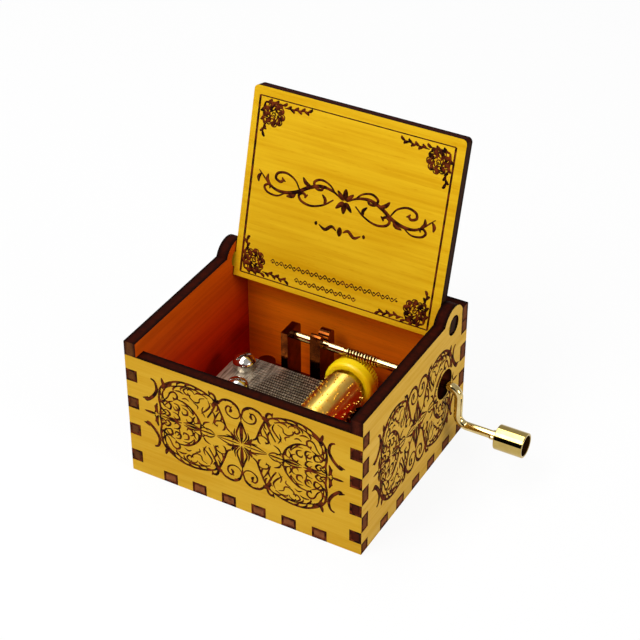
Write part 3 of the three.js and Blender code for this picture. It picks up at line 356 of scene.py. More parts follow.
def nothing_selected():
    """Leaves edit mode and deselects everything."""
    if bpy.context.object and bpy.context.object.mode != "OBJECT":
        bpy.ops.object.mode_set(mode="OBJECT")
    bpy.ops.object.select_all(action="DESELECT")


def picked(piece):
    """Selects one piece alone and makes it active."""
    nothing_selected()
    piece.select_set(True)
    bpy.context.view_layer.objects.active = piece


def primitive(add_it, scale=(1, 1, 1), **settings):
    """A new primitive, stretched, with its place in its mesh."""
    nothing_selected()
    add_it(**settings)
    piece = bpy.context.object
    piece.scale = scale
    bpy.ops.object.transform_apply()
    return piece


def new_object(name, data):
    """A new object in the scene."""
    made = bpy.data.objects.new(name, data)
    bpy.context.scene.collection.objects.link(made)
    return made


def smoothed(piece, edge=0.0, under=40.0, segments=2):
    """Rounds the edges sharper than an angle by a width in mm, and shades the rest smooth.

    Its normals follow its large faces, so that reflections in them stay straight.
    """
    picked(piece)
    if edge:
        rounding = piece.modifiers.new("edges", "BEVEL")
        rounding.width = edge * MM
        rounding.segments = segments
        rounding.limit_method = "ANGLE"
        rounding.angle_limit = math.radians(under)
        bpy.ops.object.modifier_apply(modifier="edges")
    bpy.ops.object.shade_smooth_by_angle(angle=math.radians(under))
    weighted = piece.modifiers.new("normals", "WEIGHTED_NORMAL")
    weighted.keep_sharp = True
    bpy.ops.object.modifier_apply(modifier="normals")
    return piece


def dressed(piece, body, slot, material, *nodes):
    """Gives a piece its finish and its body, and hides the nodes it stands for. slot is not used."""
    wear(piece, material)
    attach(piece, body)
    if nodes:
        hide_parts(*nodes)


def refined(node, name, body, slot, material, edge, soft=()):
    """A finer piece in a CAD node's place: its merged solid with rounded edges of that width, shaded smooth.

    Each soft entry is a low corner, a high corner and a width, all in mm: sharp edges in that box are
    rounded by that width first.
    """
    piece = new_object(name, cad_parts[node].data.copy())
    picked(piece)
    bpy.ops.object.mode_set(mode="EDIT")
    bpy.ops.mesh.select_all(action="SELECT")
    bpy.ops.mesh.remove_doubles(threshold=0.002 * MM)
    bpy.ops.mesh.dissolve_limited(angle_limit=math.radians(1.0))
    for low, high, width in soft:
        bpy.ops.mesh.select_all(action="DESELECT")
        bpy.ops.mesh.edges_select_sharp(sharpness=math.radians(60))
        bpy.ops.object.mode_set(mode="OBJECT")
        for line in piece.data.edges:
            ends = [piece.data.vertices[i].co / MM for i in line.vertices]
            line.select = line.select and all(low[k] < end[k] < high[k] for end in ends for k in range(3))
        bpy.ops.object.mode_set(mode="EDIT")
        bpy.ops.mesh.bevel(offset=width * MM, segments=5, clamp_overlap=True)
    bpy.ops.object.mode_set(mode="OBJECT")
    smoothed(piece, edge)
    dressed(piece, body, slot, material, node)


def placed(piece, name, matrix, body, slot, material, *nodes):
    """Gives a piece its name, puts its place in its mesh, and dresses it."""
    piece.name = name
    picked(piece)
    bpy.ops.object.transform_apply()
    piece.data.transform(matrix)
    dressed(piece, body, slot, material, *nodes)


def turned(profile, sides=96):
    """A turned piece about Z: a circle drawn out ring by ring to each (radius, height) of the profile, in mm.

    A profile that comes back to its start makes a tube, and any other one is closed by its two end faces.
    """
    radius, height = profile[0]
    piece = primitive(bpy.ops.mesh.primitive_circle_add, vertices=sides, radius=radius * MM,
                      location=(0, 0, height * MM))
    bpy.ops.object.mode_set(mode="EDIT")
    bpy.ops.mesh.select_all(action="SELECT")
    for to_radius, to_height in profile[1:]:
        bpy.ops.mesh.extrude_region_move(TRANSFORM_OT_translate={"value": (0, 0, (to_height - height) * MM)})
        share = to_radius / radius
        bpy.ops.transform.resize(value=(share, share, 1), center_override=(0, 0, to_height * MM))
        radius, height = to_radius, to_height
    bpy.ops.mesh.select_all(action="SELECT")
    bpy.ops.mesh.remove_doubles(threshold=0.001 * MM)
    bpy.ops.mesh.fill_holes(sides=0)
    bpy.ops.mesh.normals_make_consistent(inside=False)
    bpy.ops.object.mode_set(mode="OBJECT")
    return piece


def joined(pieces):
    """Makes several meshes one piece."""
    nothing_selected()
    for piece in pieces:
        piece.select_set(True)
    bpy.context.view_layer.objects.active = pieces[0]
    bpy.ops.object.join()
    return bpy.context.object


def copied(piece, matrices):
    """Copies of a piece at several places, each with its own mesh; the piece itself goes."""
    copies = [new_object(piece.name, piece.data.copy()) for _ in matrices]
    for copy, matrix in zip(copies, matrices):
        copy.data.transform(matrix)
    bpy.data.objects.remove(piece)
    return copies


def bead(name, lines, radius, resolution):
    """Round wires in mm along lines of (point, share of the radius), made a mesh."""
    curve = bpy.data.curves.new(name, "CURVE")
    curve.dimensions = "3D"
    curve.bevel_depth = radius * MM
    curve.bevel_resolution = resolution
    curve.use_fill_caps = True
    for line in lines:
        spline = curve.splines.new("POLY")
        spline.points.add(len(line) - 1)
        for point, (place, share) in zip(spline.points, line):
            point.co = (*(Vector(place).to_3d() * MM), 1)
            point.radius = share
    piece = new_object(name, curve)
    picked(piece)
    bpy.ops.object.convert(target="MESH")
    return bpy.context.object


def cut_slot(piece, bottom, reach, turn):
    """Cuts a driver slot across a screw's head: the height of its bottom, its reach and its turn."""
    cutter = primitive(bpy.ops.mesh.primitive_cube_add, (4 * reach * MM, SCREW_SLOT * MM, 2 * reach * MM),
                       size=1.0, location=(0, 0, (bottom + reach) * MM), rotation=(0, 0, math.radians(turn)))
    picked(piece)
    slot = piece.modifiers.new("slot", "BOOLEAN")
    slot.operation = "DIFFERENCE"
    slot.object = cutter
    slot.solver = "EXACT"
    bpy.ops.object.modifier_apply(modifier="slot")
    bpy.data.objects.remove(cutter)


def dome(radius, rim, top, steps=7):
    """Rings of a screw's domed head, from its rim nearly to its pole."""
    angles = [math.pi / 2 * i / steps for i in range(steps)]
    return [(radius * math.cos(a), rim + (top - rim) * math.sin(a)) for a in angles]


def domed_screw(node, place, turn, sizes, sides, slot):
    """A screw with a domed head in a CAD node's place, its slot turned by degrees."""
    shank, length, head, rim, top, bottom, reach, edge = sizes
    screw = turned([(shank, -length), (shank, 0.0), (head, 0.0)] + dome(head, rim, top), sides)
    cut_slot(screw, bottom, reach, turn)
    smoothed(screw, edge, under=35)
    placed(screw, "domed_" + node, Matrix.Translation(Vector(place) * MM), "case", slot, NICKEL, node)


def quarter_bend(centre, start, radius, steps=10):
    """Points of a quarter circle in X and Z about a centre, clockwise from a start angle in degrees."""
    angles = [math.radians(start - 90 * i / steps) for i in range(steps + 1)]
    return [(centre[0] + radius * math.cos(a), 0, centre[1] + radius * math.sin(a)) for a in angles]


ALONG_X = Matrix(((0, 0, 1, 0), (1, 0, 0, 0), (0, 1, 0, 0), (0, 0, 0, 1)))
ALONG_Y = Matrix(((1, 0, 0, 0), (0, 0, 1, 0), (0, -1, 0, 0), (0, 0, 0, 1)))
AT_SHAFT = Matrix.Translation(SHAFT * MM)
AT_DRUM = Matrix.Translation(DRUM * MM)

# The boards keep their solids, and get their finish alone
for node, material in WOOD.items():
    wear(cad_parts[node], material)

# Castings: edges rounded as the mould leaves them
refined("bedplate", "cast_bedplate", "case", "plated_zinc", PLATED_ZINC_PAINTED_REFLECTION, BEDPLATE_EDGE,
        soft=(REAR_PRONG, FRONT_PRONG))
refined("drum_front_bearing", "cast_drum_bearing", "case", "plated_zinc", PLATED_ZINC_PAINTED_REFLECTION, CAST_EDGE)
refined("crank_bearing", "cast_crank_bearing", "case", "plated_zinc", PLATED_ZINC_PAINTED_REFLECTION, CAST_EDGE)
refined("comb", "ground_comb", "case", "comb_steel", COMB_STEEL, CUT_EDGE)
for node in ("mount_screw_left_rear", "mount_screw_right_rear", "mount_screw_right_front"):
    refined(node, "flat_" + node, "case", "mount_screw_zinc", ZINC_SCREW, CUT_EDGE)

# Screws of the comb and of the bearings
for node, x, y, turn in COMB_SCREWS:
    domed_screw(node, (x, y, COMB_TOP), turn, COMB_SCREW, 64, "comb_screw_steel")
for node, x, y, turn in SMALL_SCREWS:
    domed_screw(node, (x, y, SMALL_SCREW_SEAT), turn, SMALL_SCREW, 48, "small_screw_steel")

# Pinned cylinder: a brass tube with a turned shoulder at its rear, and a row of pins for every tooth
neck = DRUM_RADIUS - DRUM_SHOULDER
shell = turned([(DRUM_BORE, DRUM_FRONT), (DRUM_RADIUS, DRUM_FRONT), (DRUM_RADIUS, DRUM_REAR - SHOULDER_FRONT),
                (neck, DRUM_REAR - SHOULDER_REAR), (neck, DRUM_REAR), (DRUM_BORE, DRUM_REAR),
                (DRUM_BORE, DRUM_FRONT)])
smoothed(shell, TURNED_EDGE, under=50)
pin_height = PIN_TIP - DRUM_RADIUS + PIN_SINK
pin = primitive(bpy.ops.mesh.primitive_cone_add, vertices=8, radius1=PIN_RADIUS * MM, depth=pin_height * MM,
                radius2=PIN_POINT * PIN_RADIUS * MM, location=(0, 0, (PIN_TIP - pin_height / 2) * MM))
places = []
for row in range(COMB_TEETH):
    along = Matrix.Translation(Vector((0, 0, COMB_REAR - (row + 0.5) * COMB_PITCH)) * MM)
    share = (row * ROW_TURN) % 1
    for i in range(PINS_A_ROW):
        share += PIN_STEPS[(i + 2 * row) % len(PIN_STEPS)]
        lean = Matrix.Rotation(share * 2 * math.pi, 4, "Z") @ Matrix.Rotation(math.pi / 2, 4, "Y")
        places.append(along @ lean)
drum = joined([shell] + copied(pin, places))
placed(drum, "pinned_drum", AT_DRUM @ ALONG_Y, "drum", "drum_brass", DRUM_BRASS, "drum_cylinder")

refined("drum_front_cap", "turned_front_cap", "drum", "cap_brass", CAP_BRASS, TURNED_EDGE)
refined("drum_rear_cap", "turned_rear_cap", "drum", "cap_brass", CAP_BRASS, TURNED_EDGE)

# Worm wheel: a moulded cup with a rounded rim, and a band of fine slanted teeth behind it
rounded = [(WHEEL_RIM - WHEEL_ROUND * (1 - math.sin(a)), WHEEL_FRONT + WHEEL_ROUND * (1 - math.cos(a)))
           for a in (math.radians(15 * i) for i in range(7))]
cup = turned([(WHEEL_HOLE, WHEEL_FRONT), (WHEEL_HUB, WHEEL_FRONT), (WHEEL_HUB, WHEEL_WEB),
              (WHEEL_BORE, WHEEL_WEB), (WHEEL_BORE, WHEEL_FRONT)] + rounded
             + [(WHEEL_RIM, WHEEL_STEP), (WHEEL_ROOT, WHEEL_STEP), (WHEEL_ROOT, WHEEL_REAR),
                (WHEEL_HOLE, WHEEL_REAR), (WHEEL_HOLE, WHEEL_FRONT)])
smoothed(cup, under=50)
tooth_height = WHEEL_TIP - WHEEL_ROOT + TOOTH_SINK
foot, tip = (width * MM / math.sqrt(2) for width in WHEEL_TOOTH)
tooth = primitive(bpy.ops.mesh.primitive_cone_add, vertices=4, radius1=foot, radius2=tip,
                  depth=tooth_height * MM, rotation=(0, 0, math.pi / 4))
tooth.scale = (1.0, (WHEEL_REAR - WHEEL_STEP) / WHEEL_TOOTH[0], 1.0)
bpy.ops.object.transform_apply()
out = Matrix.Translation((0, 0, (WHEEL_TIP - tooth_height / 2) * MM))
standing = Matrix.Rotation(math.pi / 2, 4, "X") @ out
middle = Matrix.Translation((0, 0, (WHEEL_STEP + WHEEL_REAR) / 2 * MM))
places = [middle @ Matrix.Rotation((i + 0.5) / WHEEL_TEETH * 2 * math.pi, 4, "Z") @ standing
          @ Matrix.Rotation(math.radians(WHEEL_LEAD), 4, "Z") for i in range(WHEEL_TEETH)]
wheel = joined([cup] + copied(tooth, places))
placed(wheel, "moulded_worm_wheel", AT_DRUM @ ALONG_Y, "drum", "wheel_plastic", ACETAL, "worm_wheel")
refined("drum_arbor", "drawn_arbor", "drum", "arbor_steel", ARBOR_STEEL, TURNED_EDGE)

# Crank: one bent wire, thinner at its left end and in its worm, with pinched flats and a riveted head
route = []
for x0, x1, radius in ((WIRE_START, WIRE_SHOULDER, JOURNAL), (WIRE_SHOULDER + WIRE_STEP, WORM_START, WIRE),
                       (WORM_START + WIRE_STEP, WORM_END, WORM_CORE)):
    route += [((x0, 0, 0), radius / WIRE), ((x1, 0, 0), radius / WIRE)]
route += [((WORM_END + WIRE_STEP, 0, 0), 1.0)]
route += [(p, 1.0) for p in quarter_bend((ARM_X - BEND, -BEND), 90, BEND)]
route += [((ARM_X + BEND - (p[0] - ARM_X - BEND), 0, p[2]), 1.0)
          for p in quarter_bend((ARM_X + BEND, BEND - ARM_DROP), 0, BEND)]
route += [((WIRE_END, 0, -ARM_DROP), 1.0)]
wire = smoothed(bead("wire", [route], WIRE, 8), under=50)
turns = int((WORM_END - WORM_START) / WORM_PITCH)
start = DRUM.x - math.floor((DRUM.x - WORM_START) / WORM_PITCH) * WORM_PITCH
reach = WORM_CREST - THREAD_RADIUS
helix = []
for i in range(turns * THREAD_STEPS + 1):
    angle = 2 * math.pi * i / THREAD_STEPS - math.pi / 2
    x = start + i / THREAD_STEPS * WORM_PITCH
    helix.append(((x, reach * math.cos(angle), reach * math.sin(angle)), 1.0))
thread = smoothed(bead("thread", [helix], THREAD_RADIUS, 1), under=60)
head = turned([(WIRE_HEAD, WIRE_HEAD_FACE), (WIRE_HEAD, WIRE_HEAD_END)], sides=48)
smoothed(head, HEAD_EDGE, segments=3)
head.data.transform(Matrix.Translation(Vector((0, 0, -ARM_DROP)) * MM) @ ALONG_X)
flats = []
for x0, x1, z in EAR_SPANS:
    flat = primitive(bpy.ops.mesh.primitive_cube_add, Vector((x1 - x0, FLAT_WIDTH, FLAT_THICKNESS)) * MM,
                     size=1.0, location=((x0 + x1) / 2 * MM, 0, z * MM))
    flats.append(smoothed(flat, FLAT_EDGE, segments=4))
crank = joined([wire, thread, head] + flats)
placed(crank, "bent_crank_wire", AT_SHAFT, "crank", "crank_plate", CRANK_GOLD, "crank_shaft")

# Knob: a plated brass sleeve with a deep recess in its outer end
knob = turned([(KNOB_BORE, 0), (KNOB_RADIUS, 0), (KNOB_RADIUS, KNOB_LENGTH), (KNOB_RECESS, KNOB_LENGTH),
               (KNOB_RECESS, KNOB_LENGTH - KNOB_RECESS_DEPTH), (KNOB_BORE, KNOB_LENGTH - KNOB_RECESS_DEPTH),
               (KNOB_BORE, 0)])
smoothed(knob, KNOB_EDGE, under=50, segments=3)
knob_place = Matrix.Translation(Vector((KNOB_X, SHAFT.y, SHAFT.z - ARM_DROP)) * MM)
placed(knob, "turned_knob", knob_place @ ALONG_X, "knob", "knob_plate", KNOB_GOLD, "crank_knob")


def flowing(points, steps=8):
    """Points of a smooth line through a few given ones, as a Catmull-Rom spline."""
    held = [Vector(p) for p in points]
    held = [2 * held[0] - held[1]] + held + [2 * held[-1] - held[-2]]
    line = []
    for i in range(1, len(held) - 2):
        a, b, c, d = held[i - 1:i + 3]
        for k in range(steps):
            t = k / steps
            line.append(0.5 * (2 * b + (c - a) * t + (2 * a - 5 * b + 4 * c - d) * t ** 2
                               + (3 * b - a - 3 * c + d) * t ** 3))
    return line + [held[-2]]


def around(steps):
    """Points round the origin, each from its angle and its distance."""
    return [(reach * math.cos(angle), reach * math.sin(angle)) for angle, reach in steps]


def strokes_of(**kinds):
    """The strokes of a drawing, given kind by kind: each one's widest width and then its points."""
    return [(width, kind, points) for kind, rows in kinds.items() for width, *points in rows]


# Half width and height of the scrollwork's panel, and the point that its small leaves turn to, in mm
PANEL_HALF = (27.0, 12.6)
SPRIG_CENTRE = (14.0, 3.0)

# Strokes of the scrollwork in one quarter of a panel, in mm from its centre. A leaf is thin at both ends, a
# stem nearly keeps its width, a line never changes, and a curl ends in a bud.
AXIS_UP = strokes_of(leaf=[
    (1, (0, 0.4), (0, 3.6), (0, 7.4)),
    (0.5, (0, 7.2), (0, 8.2), (0, 9.4)),
])
AXIS_LEVEL = strokes_of(leaf=[
    (0.4, (0.6, 0), (3.4, 0), (6.4, 0)),
    (0.55, (7.2, 0), (9, 0), (11.4, 0)),
    (0.8, (10.6, 0), (12.6, 0), (15.6, 0)),
    (0.8, (24, 0), (25.4, 0), (27.2, 0)),
    (0.6, (16.6, 0), (18.8, 0), (22.6, 0)),
])
QUARTER_STROKES = strokes_of(leaf=[
    (0.6, (0.35, 0.8), (1.35, 2.9), (0.75, 5), (0.3, 6.8)),
    (0.55, (0.9, 1), (1.95, 2.5), (1.75, 4.3)),
    (0.75, (0.5, 0.5), (1.8, 1.2), (2.8, 2.9)),
    (0.5, (1.2, 0.55), (2.6, 1.35), (4.3, 1.55)),
    (0.55, (0.8, 0.5), (3.2, 1.15), (6.9, 0.1)),
    (0.9, (3.2, 8.6), (2.7, 9.2), (2.8, 10)),
    (1.5, (5.9, 10.9), (6.9, 9.7), (7.9, 8.4)),
    (1, (7.9, 10.9), (6.9, 10), (6.1, 8.9)),
    (0.6, (9, 9.8), (8.5, 8.2), (9.6, 6.5), (11, 5.1)),
    (0.55, (5.7, 7.9), (6.9, 5.7), (7.9, 3.1)),
    (0.6, (8.1, 7.6), (7.2, 5.7), (7.5, 3.9)),
    (1.1, (20.8, 9.2), (21.4, 10.2), (21.8, 11.6)),
    (1, (18.9, 10.9), (20.3, 9.8), (21.9, 8.6)),
    (0.6, (15.6, 8.9), (16.8, 9.4), (18.2, 9.2)),
    (1, (23.3, 0.1), (23.8, 1.8), (23.4, 3.5)),
    (0.6, (24.4, 0.2), (23.9, 1.2), (24.3, 2.5)),
    (0.5, (21.4, 3.5), (20.2, 5), (18.7, 5.9)),
    (0.45, (16.6, 5.6), (14.8, 5.4), (13.2, 3.6)),
    (0.7, (22, 4.2), (20.8, 5.1), (19.5, 4.4), (19.8, 3.1), (21, 3.3)),
    (0.65, (22, 2), (20.8, 2.4), (19.9, 1.5), (20.7, 0.7), (21.6, 1.2)),
    (0.6, (19.1, 2.5), (17.8, 2.2), (17.2, 1.2), (18.1, 0.6), (18.9, 1.2)),
    (0.5, (18.2, 4.5), (17.4, 3.4), (17.6, 1.7)),
    (0.7, (18.7, 5.3), (17.4, 5), (17.2, 3.8), (18.3, 3.3), (18.9, 4.2)),
    (0.65, (16.3, 4.8), (15, 4.3), (15, 3.1), (16.1, 2.8), (16.5, 3.6)),
    (0.6, (14.6, 3.1), (13.6, 2.5), (13.8, 1.3), (14.9, 1), (15.3, 1.8)),
    (0.55, (12.7, 3.5), (13.3, 2.4), (12.9, 1.2)),
    (0.5, (7.3, 0.2), (8.8, 1.1), (11.4, 1)),
    (0.5, (9.2, 0.6), (11.4, 1.8), (13.4, 1)),
    (0.6, (10.7, 1.5), (10.1, 2.7), (8.7, 3.4)),
    (0.6, (12, 0.5), (14, 0.8), (16.2, 0.3)),
    (0.55, (16.8, 0.9), (18.2, 0.4), (20.8, 0.5)),
    (0.55, (20.9, 1.6), (21.8, 0.8), (23, 0.5)),
    (0.5, (9.9, 4.3), (10.7, 5.9), (10.3, 7.4)),
    (0.5, (12, 5.9), (11.9, 6.9), (13.2, 7.6)),
    (0.5, (16.3, 7.4), (15.2, 7.9), (14.2, 7.4)),
], stem=[
    (0.78, (0.1, 8.6), (0.9, 10.9), (2.6, 11.95), (4.6, 11.7), (5.8, 10.6), (6.6, 9.3)),
    (0.7, (7, 10.8), (5.9, 8.4), (4.9, 5.8), (4.1, 3.6), (3.1, 2.7)),
    (0.68, (7, 10.4), (8.7, 11.3), (10.6, 12), (13.7, 12.5), (17, 12.2), (19.5, 11.1), (21.6, 9.5),
     (22.8, 7.6)),
    (0.5, (9, 10.1), (11.2, 11.1), (13.6, 11.6), (16.2, 11.2), (19, 10.2), (21.2, 9.6)),
    (0.7, (21.6, 9.6), (22.5, 7.7), (22.8, 5), (22.5, 2.4), (22.9, 0.2)),
    (0.45, (20.9, 8.9), (21.8, 7), (22, 4.6)),
    (0.62, (17.7, 6.8), (15.3, 6.4), (13.2, 4.9), (11.7, 2.9), (11, 0.6)),
], curl=[
    (0.62, (0.12, 8.9), (0.9, 7.6), (2.3, 7.2), (3.7, 7.9), (4.1, 9.3), (3.4, 10.3), (2.5, 10)),
    (0.9, (9.3, 4.5), (7.9, 7), (6.9, 9.6), (6.9, 11.3), (7.6, 12.2), (8.7, 12.1)),
    (0.6, (4.4, 4.4), (5.6, 4.9), (7, 4.4), (7.3, 3.4), (6.5, 3.1)),
    (0.55, (9.9, 9.9), (11.2, 9.3), (11.5, 8.2), (12.6, 7.8), (13.8, 8.5), (14.2, 9.4)),
    (0.6, (12.6, 10), (13.3, 10.9), (14.9, 11), (15.7, 10.1), (14.9, 9.2), (14.2, 9.6)),
    (1.15, (24.9, 10.3), (24, 9.9), (23.5, 8.9), (23.4, 7.2), (24.3, 5.4), (25.5, 4.1), (26.4, 3.5),
     (26.8, 4.2)),
    (0.7, (22, 4.6), (20.4, 6.3), (19.5, 8.1), (18.4, 8.6), (17.6, 7.9), (17.8, 6.8), (18.8, 6.5)),
])

# Right half of the flourish across the lid and of the small one under it, in mm from their centres
FLOURISH = strokes_of(leaf=[
    (1.1, (0, 0.3), (0, 1.5), (0, 3.2)),
    (1.1, (0, -0.3), (0, -1.5), (0, -3.2)),
    (0.9, (0.2, 0.2), (0.9, 0.9), (2.2, 2.3)),
    (0.9, (0.2, -0.2), (0.9, -0.9), (2.2, -2.3)),
    (0.75, (0.6, 0.1), (3.2, 1.6), (6.6, 2.1), (10, 0.9), (13.2, -1.1), (16.8, -2.1), (20.2, -1.5),
     (24.2, 1.9)),
    (0.8, (9.4, 1.3), (10.9, 1.8), (11.9, 3.1)),
    (0.7, (5.4, -2.2), (5.2, -1), (6.2, 0.2)),
    (0.8, (13.4, -1.3), (14.2, -2.4), (15.9, -2.9)),
    (0.7, (20.4, -1.4), (21.6, 0), (21.5, 1.5)),
    (0.7, (23.4, 1.2), (24.1, 0.1), (24, -1.2)),
], curl=[
    (0.6, (2.6, 1.2), (4.4, 3), (6.9, 3.7), (8.7, 2.7), (8.1, 1.3), (6.6, 1.2), (6.2, 2.1)),
    (0.6, (3, -0.4), (5.6, -2.4), (8.9, -3.5), (11.6, -3), (12.5, -1.7), (11.4, -0.9), (10.3, -1.6)),
    (0.6, (12.4, -0.4), (14, 1.8), (16.6, 2.9), (18.9, 2.3), (19.3, 0.9), (17.9, 0.3), (17, 1.2)),
    (0.55, (16.4, -2.3), (18.6, -3.5), (21.2, -3.2), (22.2, -2), (21.2, -1.1), (20.3, -1.7)),
])
SMALL_FLOURISH = strokes_of(leaf=[
    (1.2, (0, -1.2), (0, 0), (0, 1.2)),
    (0.75, (0.9, 0), (2.3, 0.75), (4, -0.45), (5.8, 0.4)),
    (0.9, (6.2, 0.45), (6.6, 0.5), (7, 0.55)),
])


def width_at(kind, share):
    """How wide a stroke is along it, as a share of its widest width."""
    if kind == "leaf":
        return 0.22 + 0.78 * math.sin(math.pi * share) ** 0.75
    if kind == "curl":
        return 0.5 + 0.4 * min(1, share / 0.5) + (0.8 if share > 0.94 else 0.0)
    if kind == "stem":
        return 0.7 + 0.3 * math.sin(math.pi * share)
    return 1.0


def mirrored(strokes, x_signs, y_signs, scale=(1, 1), shift=(0, 0), bolder=1.0):
    """Strokes repeated for each pair of signs, scaled and then shifted, and made bolder by a share."""
    return [(width * bolder, kind, [(x_sign * x * scale[0] + shift[0], y_sign * y * scale[1] + shift[1])
                                    for x, y in points])
            for x_sign in x_signs for y_sign in y_signs for width, kind, points in strokes]


def ruled(width, a, b):
    """A straight line of even width between two points."""
    return (width, "line", [a, ((a[0] + b[0]) / 2, (a[1] + b[1]) / 2), b])


def sprigs(strokes, every, length, width, towards=None):
    """Small leaves along the stems of a drawing, in mm: alternately, or all on the side towards a point."""
    leaves = []
    for _, kind, points in strokes:
        line = flowing(points) if kind == "stem" else []
        run, side = every / 2, 1
        for a, b in zip(line, line[1:]):
            run += (b - a).length
            if run >= every:
                run, side = 0.0, -side
                along = (b - a).normalized()
                out = Vector((-along.y, along.x)) * side
                if towards and out.dot(Vector(towards) - b) < 0:
                    out = -out
                leaves.append((width, "leaf", [b, b + (along * 0.45 + out * 0.12) * length,
                                               b + (along * 0.85 + out * 0.38) * length,
                                               b + (along * 0.95 + out * 0.72) * length]))
    return leaves


def panel_strokes(half_width, half_height, bolder=1.0):
    """The whole scrollwork from its quarter, fitted to a half width and height in mm."""
    scale = (half_width / PANEL_HALF[0], half_height / PANEL_HALF[1])
    leaves = sprigs(QUARTER_STROKES, every=2.4, length=2.0, width=0.6, towards=SPRIG_CENTRE)
    return (mirrored(AXIS_UP, (1,), (1, -1), scale) + mirrored(AXIS_LEVEL, (1, -1), (1,), scale)
            + mirrored(QUARTER_STROKES + leaves, (1, -1), (1, -1), scale, bolder=0.9 * bolder))


def blossom(radius):
    """A dark full-blown flower of close overlapping petals round the origin, in mm."""
    # Its heart curls inwards to a third of its size
    heart = [(math.radians(40 + 468 * t), 0.26 * radius * (1 - 0.67 * t)) for t in (k / 7 for k in range(8))]
    strokes = [(0.4, "curl", around(heart))]
    # A petal's rim and the dark vein in it: side as a share of its spread, distance as a share of its ring's
    rim = [(-1, 0.8), (-0.5, 0.98), (0, 1.02), (0.5, 0.98), (1, 0.8)]
    vein = [(0.45, 0.6), (0.3, 0.76), (0.2, 0.97)]
    # Three rings of petals: share of the radius, how many, and their turn in degrees
    for ring, petals, turn in ((0.45, 5, 0), (0.74, 7, 20), (1.0, 9, 5)):
        spread = math.pi / petals * 1.1
        for k in range(petals):
            middle = math.radians(turn + 360 * k / petals)
            for width, kind, path in ((0.38, "stem", rim), (1.55 * ring, "leaf", vein)):
                points = around([(middle + side * spread, share * ring * radius) for side, share in path])
                strokes.append((width, kind, points))
    return strokes


def corner_spray():
    """A corner flower with its leaf sprays: x runs along the long edge from it, and y along the short one."""
    stems = [(0.4, "stem", [(2.6, -2.4), (5.2, -2.5), (9.0, -2.9)]),
             (0.4, "stem", [(-2.3, 2.2), (-2.5, 3.6), (-2.7, 5.2)]),
             (0.7, "stem", [(-2.7, -2.7), (-1, -2.9), (2, -2.9)]),
             (0.7, "stem", [(-2.7, -2.7), (-2.9, -1), (-2.8, 1.6)])]
    return blossom(2.9) + stems + sprigs(stems, every=0.8, length=1.25, width=0.8)


def vine(half_length, height, step=0.62):
    """A fine waving vine with a bud in every bend, laid level about the origin, in mm: four steps a wave."""
    points = [(-half_length + step * k, height / 2 * (0, 1, 0, -1)[k % 4])
              for k in range(round(2 * half_length / step) + 1)]
    buds = [(0.5, "leaf", [(x - 0.35, -0.1 * y), (x, -0.25 * y), (x + 0.35, -0.1 * y)])
            for x, y in points[1::2]]
    return [(0.34, "stem", points)] + buds


def engraved(name, strokes, matrix, body, slot, hole=None):
    """Strokes as flat charred lines on a board, clear of a hole given by its centre and radius.

    They are tapered beads on one curve, flattened and laid in place.
    """
    runs = []
    for width, kind, points in strokes:
        line = flowing(points)
        run = []
        for i, p in enumerate(line):
            if hole and (p - hole[0]).length < hole[1]:
                runs, run = runs + [run], []
            else:
                run.append((p, width * width_at(kind, i / (len(line) - 1))))
        runs.append(run)
    piece = bead(name, [run for run in runs if len(run) > 1], 0.5, 0)
    placed(piece, name, matrix @ Matrix.Diagonal((1, 1, FLATNESS, 1)), body, slot, CHAR)


def laid_on(right, up, origin):
    """The matrix that lays a drawing on a face: its right and up directions and its centre in mm."""
    out = Vector(right).cross(Vector(up))
    turn = Matrix((right, up, out)).transposed().to_4x4()
    return Matrix.Translation(Vector(origin) * MM) @ turn


def scorched_seams(name, half_width, base_tabs, ends, matrix, slot):
    """The burnt outlines of the fingers that show on one face: x runs along the face and y up, in mm."""
    blocks = [(x - BASE_TAB / 2, x + BASE_TAB / 2, 0.0, BOARD) for x in base_tabs]
    for x0, x1 in ((-half_width, BOARD - half_width), (half_width - BOARD, half_width)):
        blocks += [(x0, x1, low, high) for low, high in ends]
    strokes = []
    for x0, x1, y0, y1 in blocks:
        x0, x1, y0, y1 = x0 + SEAM / 2, x1 - SEAM / 2, y0 + SEAM / 2, y1 - SEAM / 2
        for a, b in (((x0, y0), (x1, y0)), ((x0, y1), (x1, y1)), ((x0, y0), (x0, y1)), ((x1, y0), (x1, y1))):
            strokes.append(ruled(SEAM, a, b))
    engraved(name, strokes, matrix, "case", slot)


# Heights in mm of the fingers at the corners: the side walls' fingers show on the broad walls, and those of
# the broad walls, between them, on the side walls
side_fingers = [(z, z + CORNER_TAB) for z in CORNER_TABS]
edges = [0.0] + [z for finger in side_fingers for z in finger] + [FRONT_HEIGHT]
broad_fingers = list(zip(edges[::2], edges[1::2]))

left_base_tabs = [-y for y in SIDE_BASE_TABS]

# Each wall's right direction from outside, middle of its foot, half width, and fingers at its foot and ends
WALLS = (
    ("front", (1, 0, 0), (0, -CASE_HALF_DEPTH, 0), CASE_HALF_WIDTH, FRONT_BASE_TABS, side_fingers),
    ("back", (-1, 0, 0), (0, CASE_HALF_DEPTH, 0), CASE_HALF_WIDTH, FRONT_BASE_TABS, side_fingers),
    ("right", (0, 1, 0), (CASE_HALF_WIDTH, 0, 0), CASE_HALF_DEPTH, SIDE_BASE_TABS, broad_fingers),
    ("left", (0, -1, 0), (-CASE_HALF_WIDTH, 0, 0), CASE_HALF_DEPTH, left_base_tabs, broad_fingers),
)

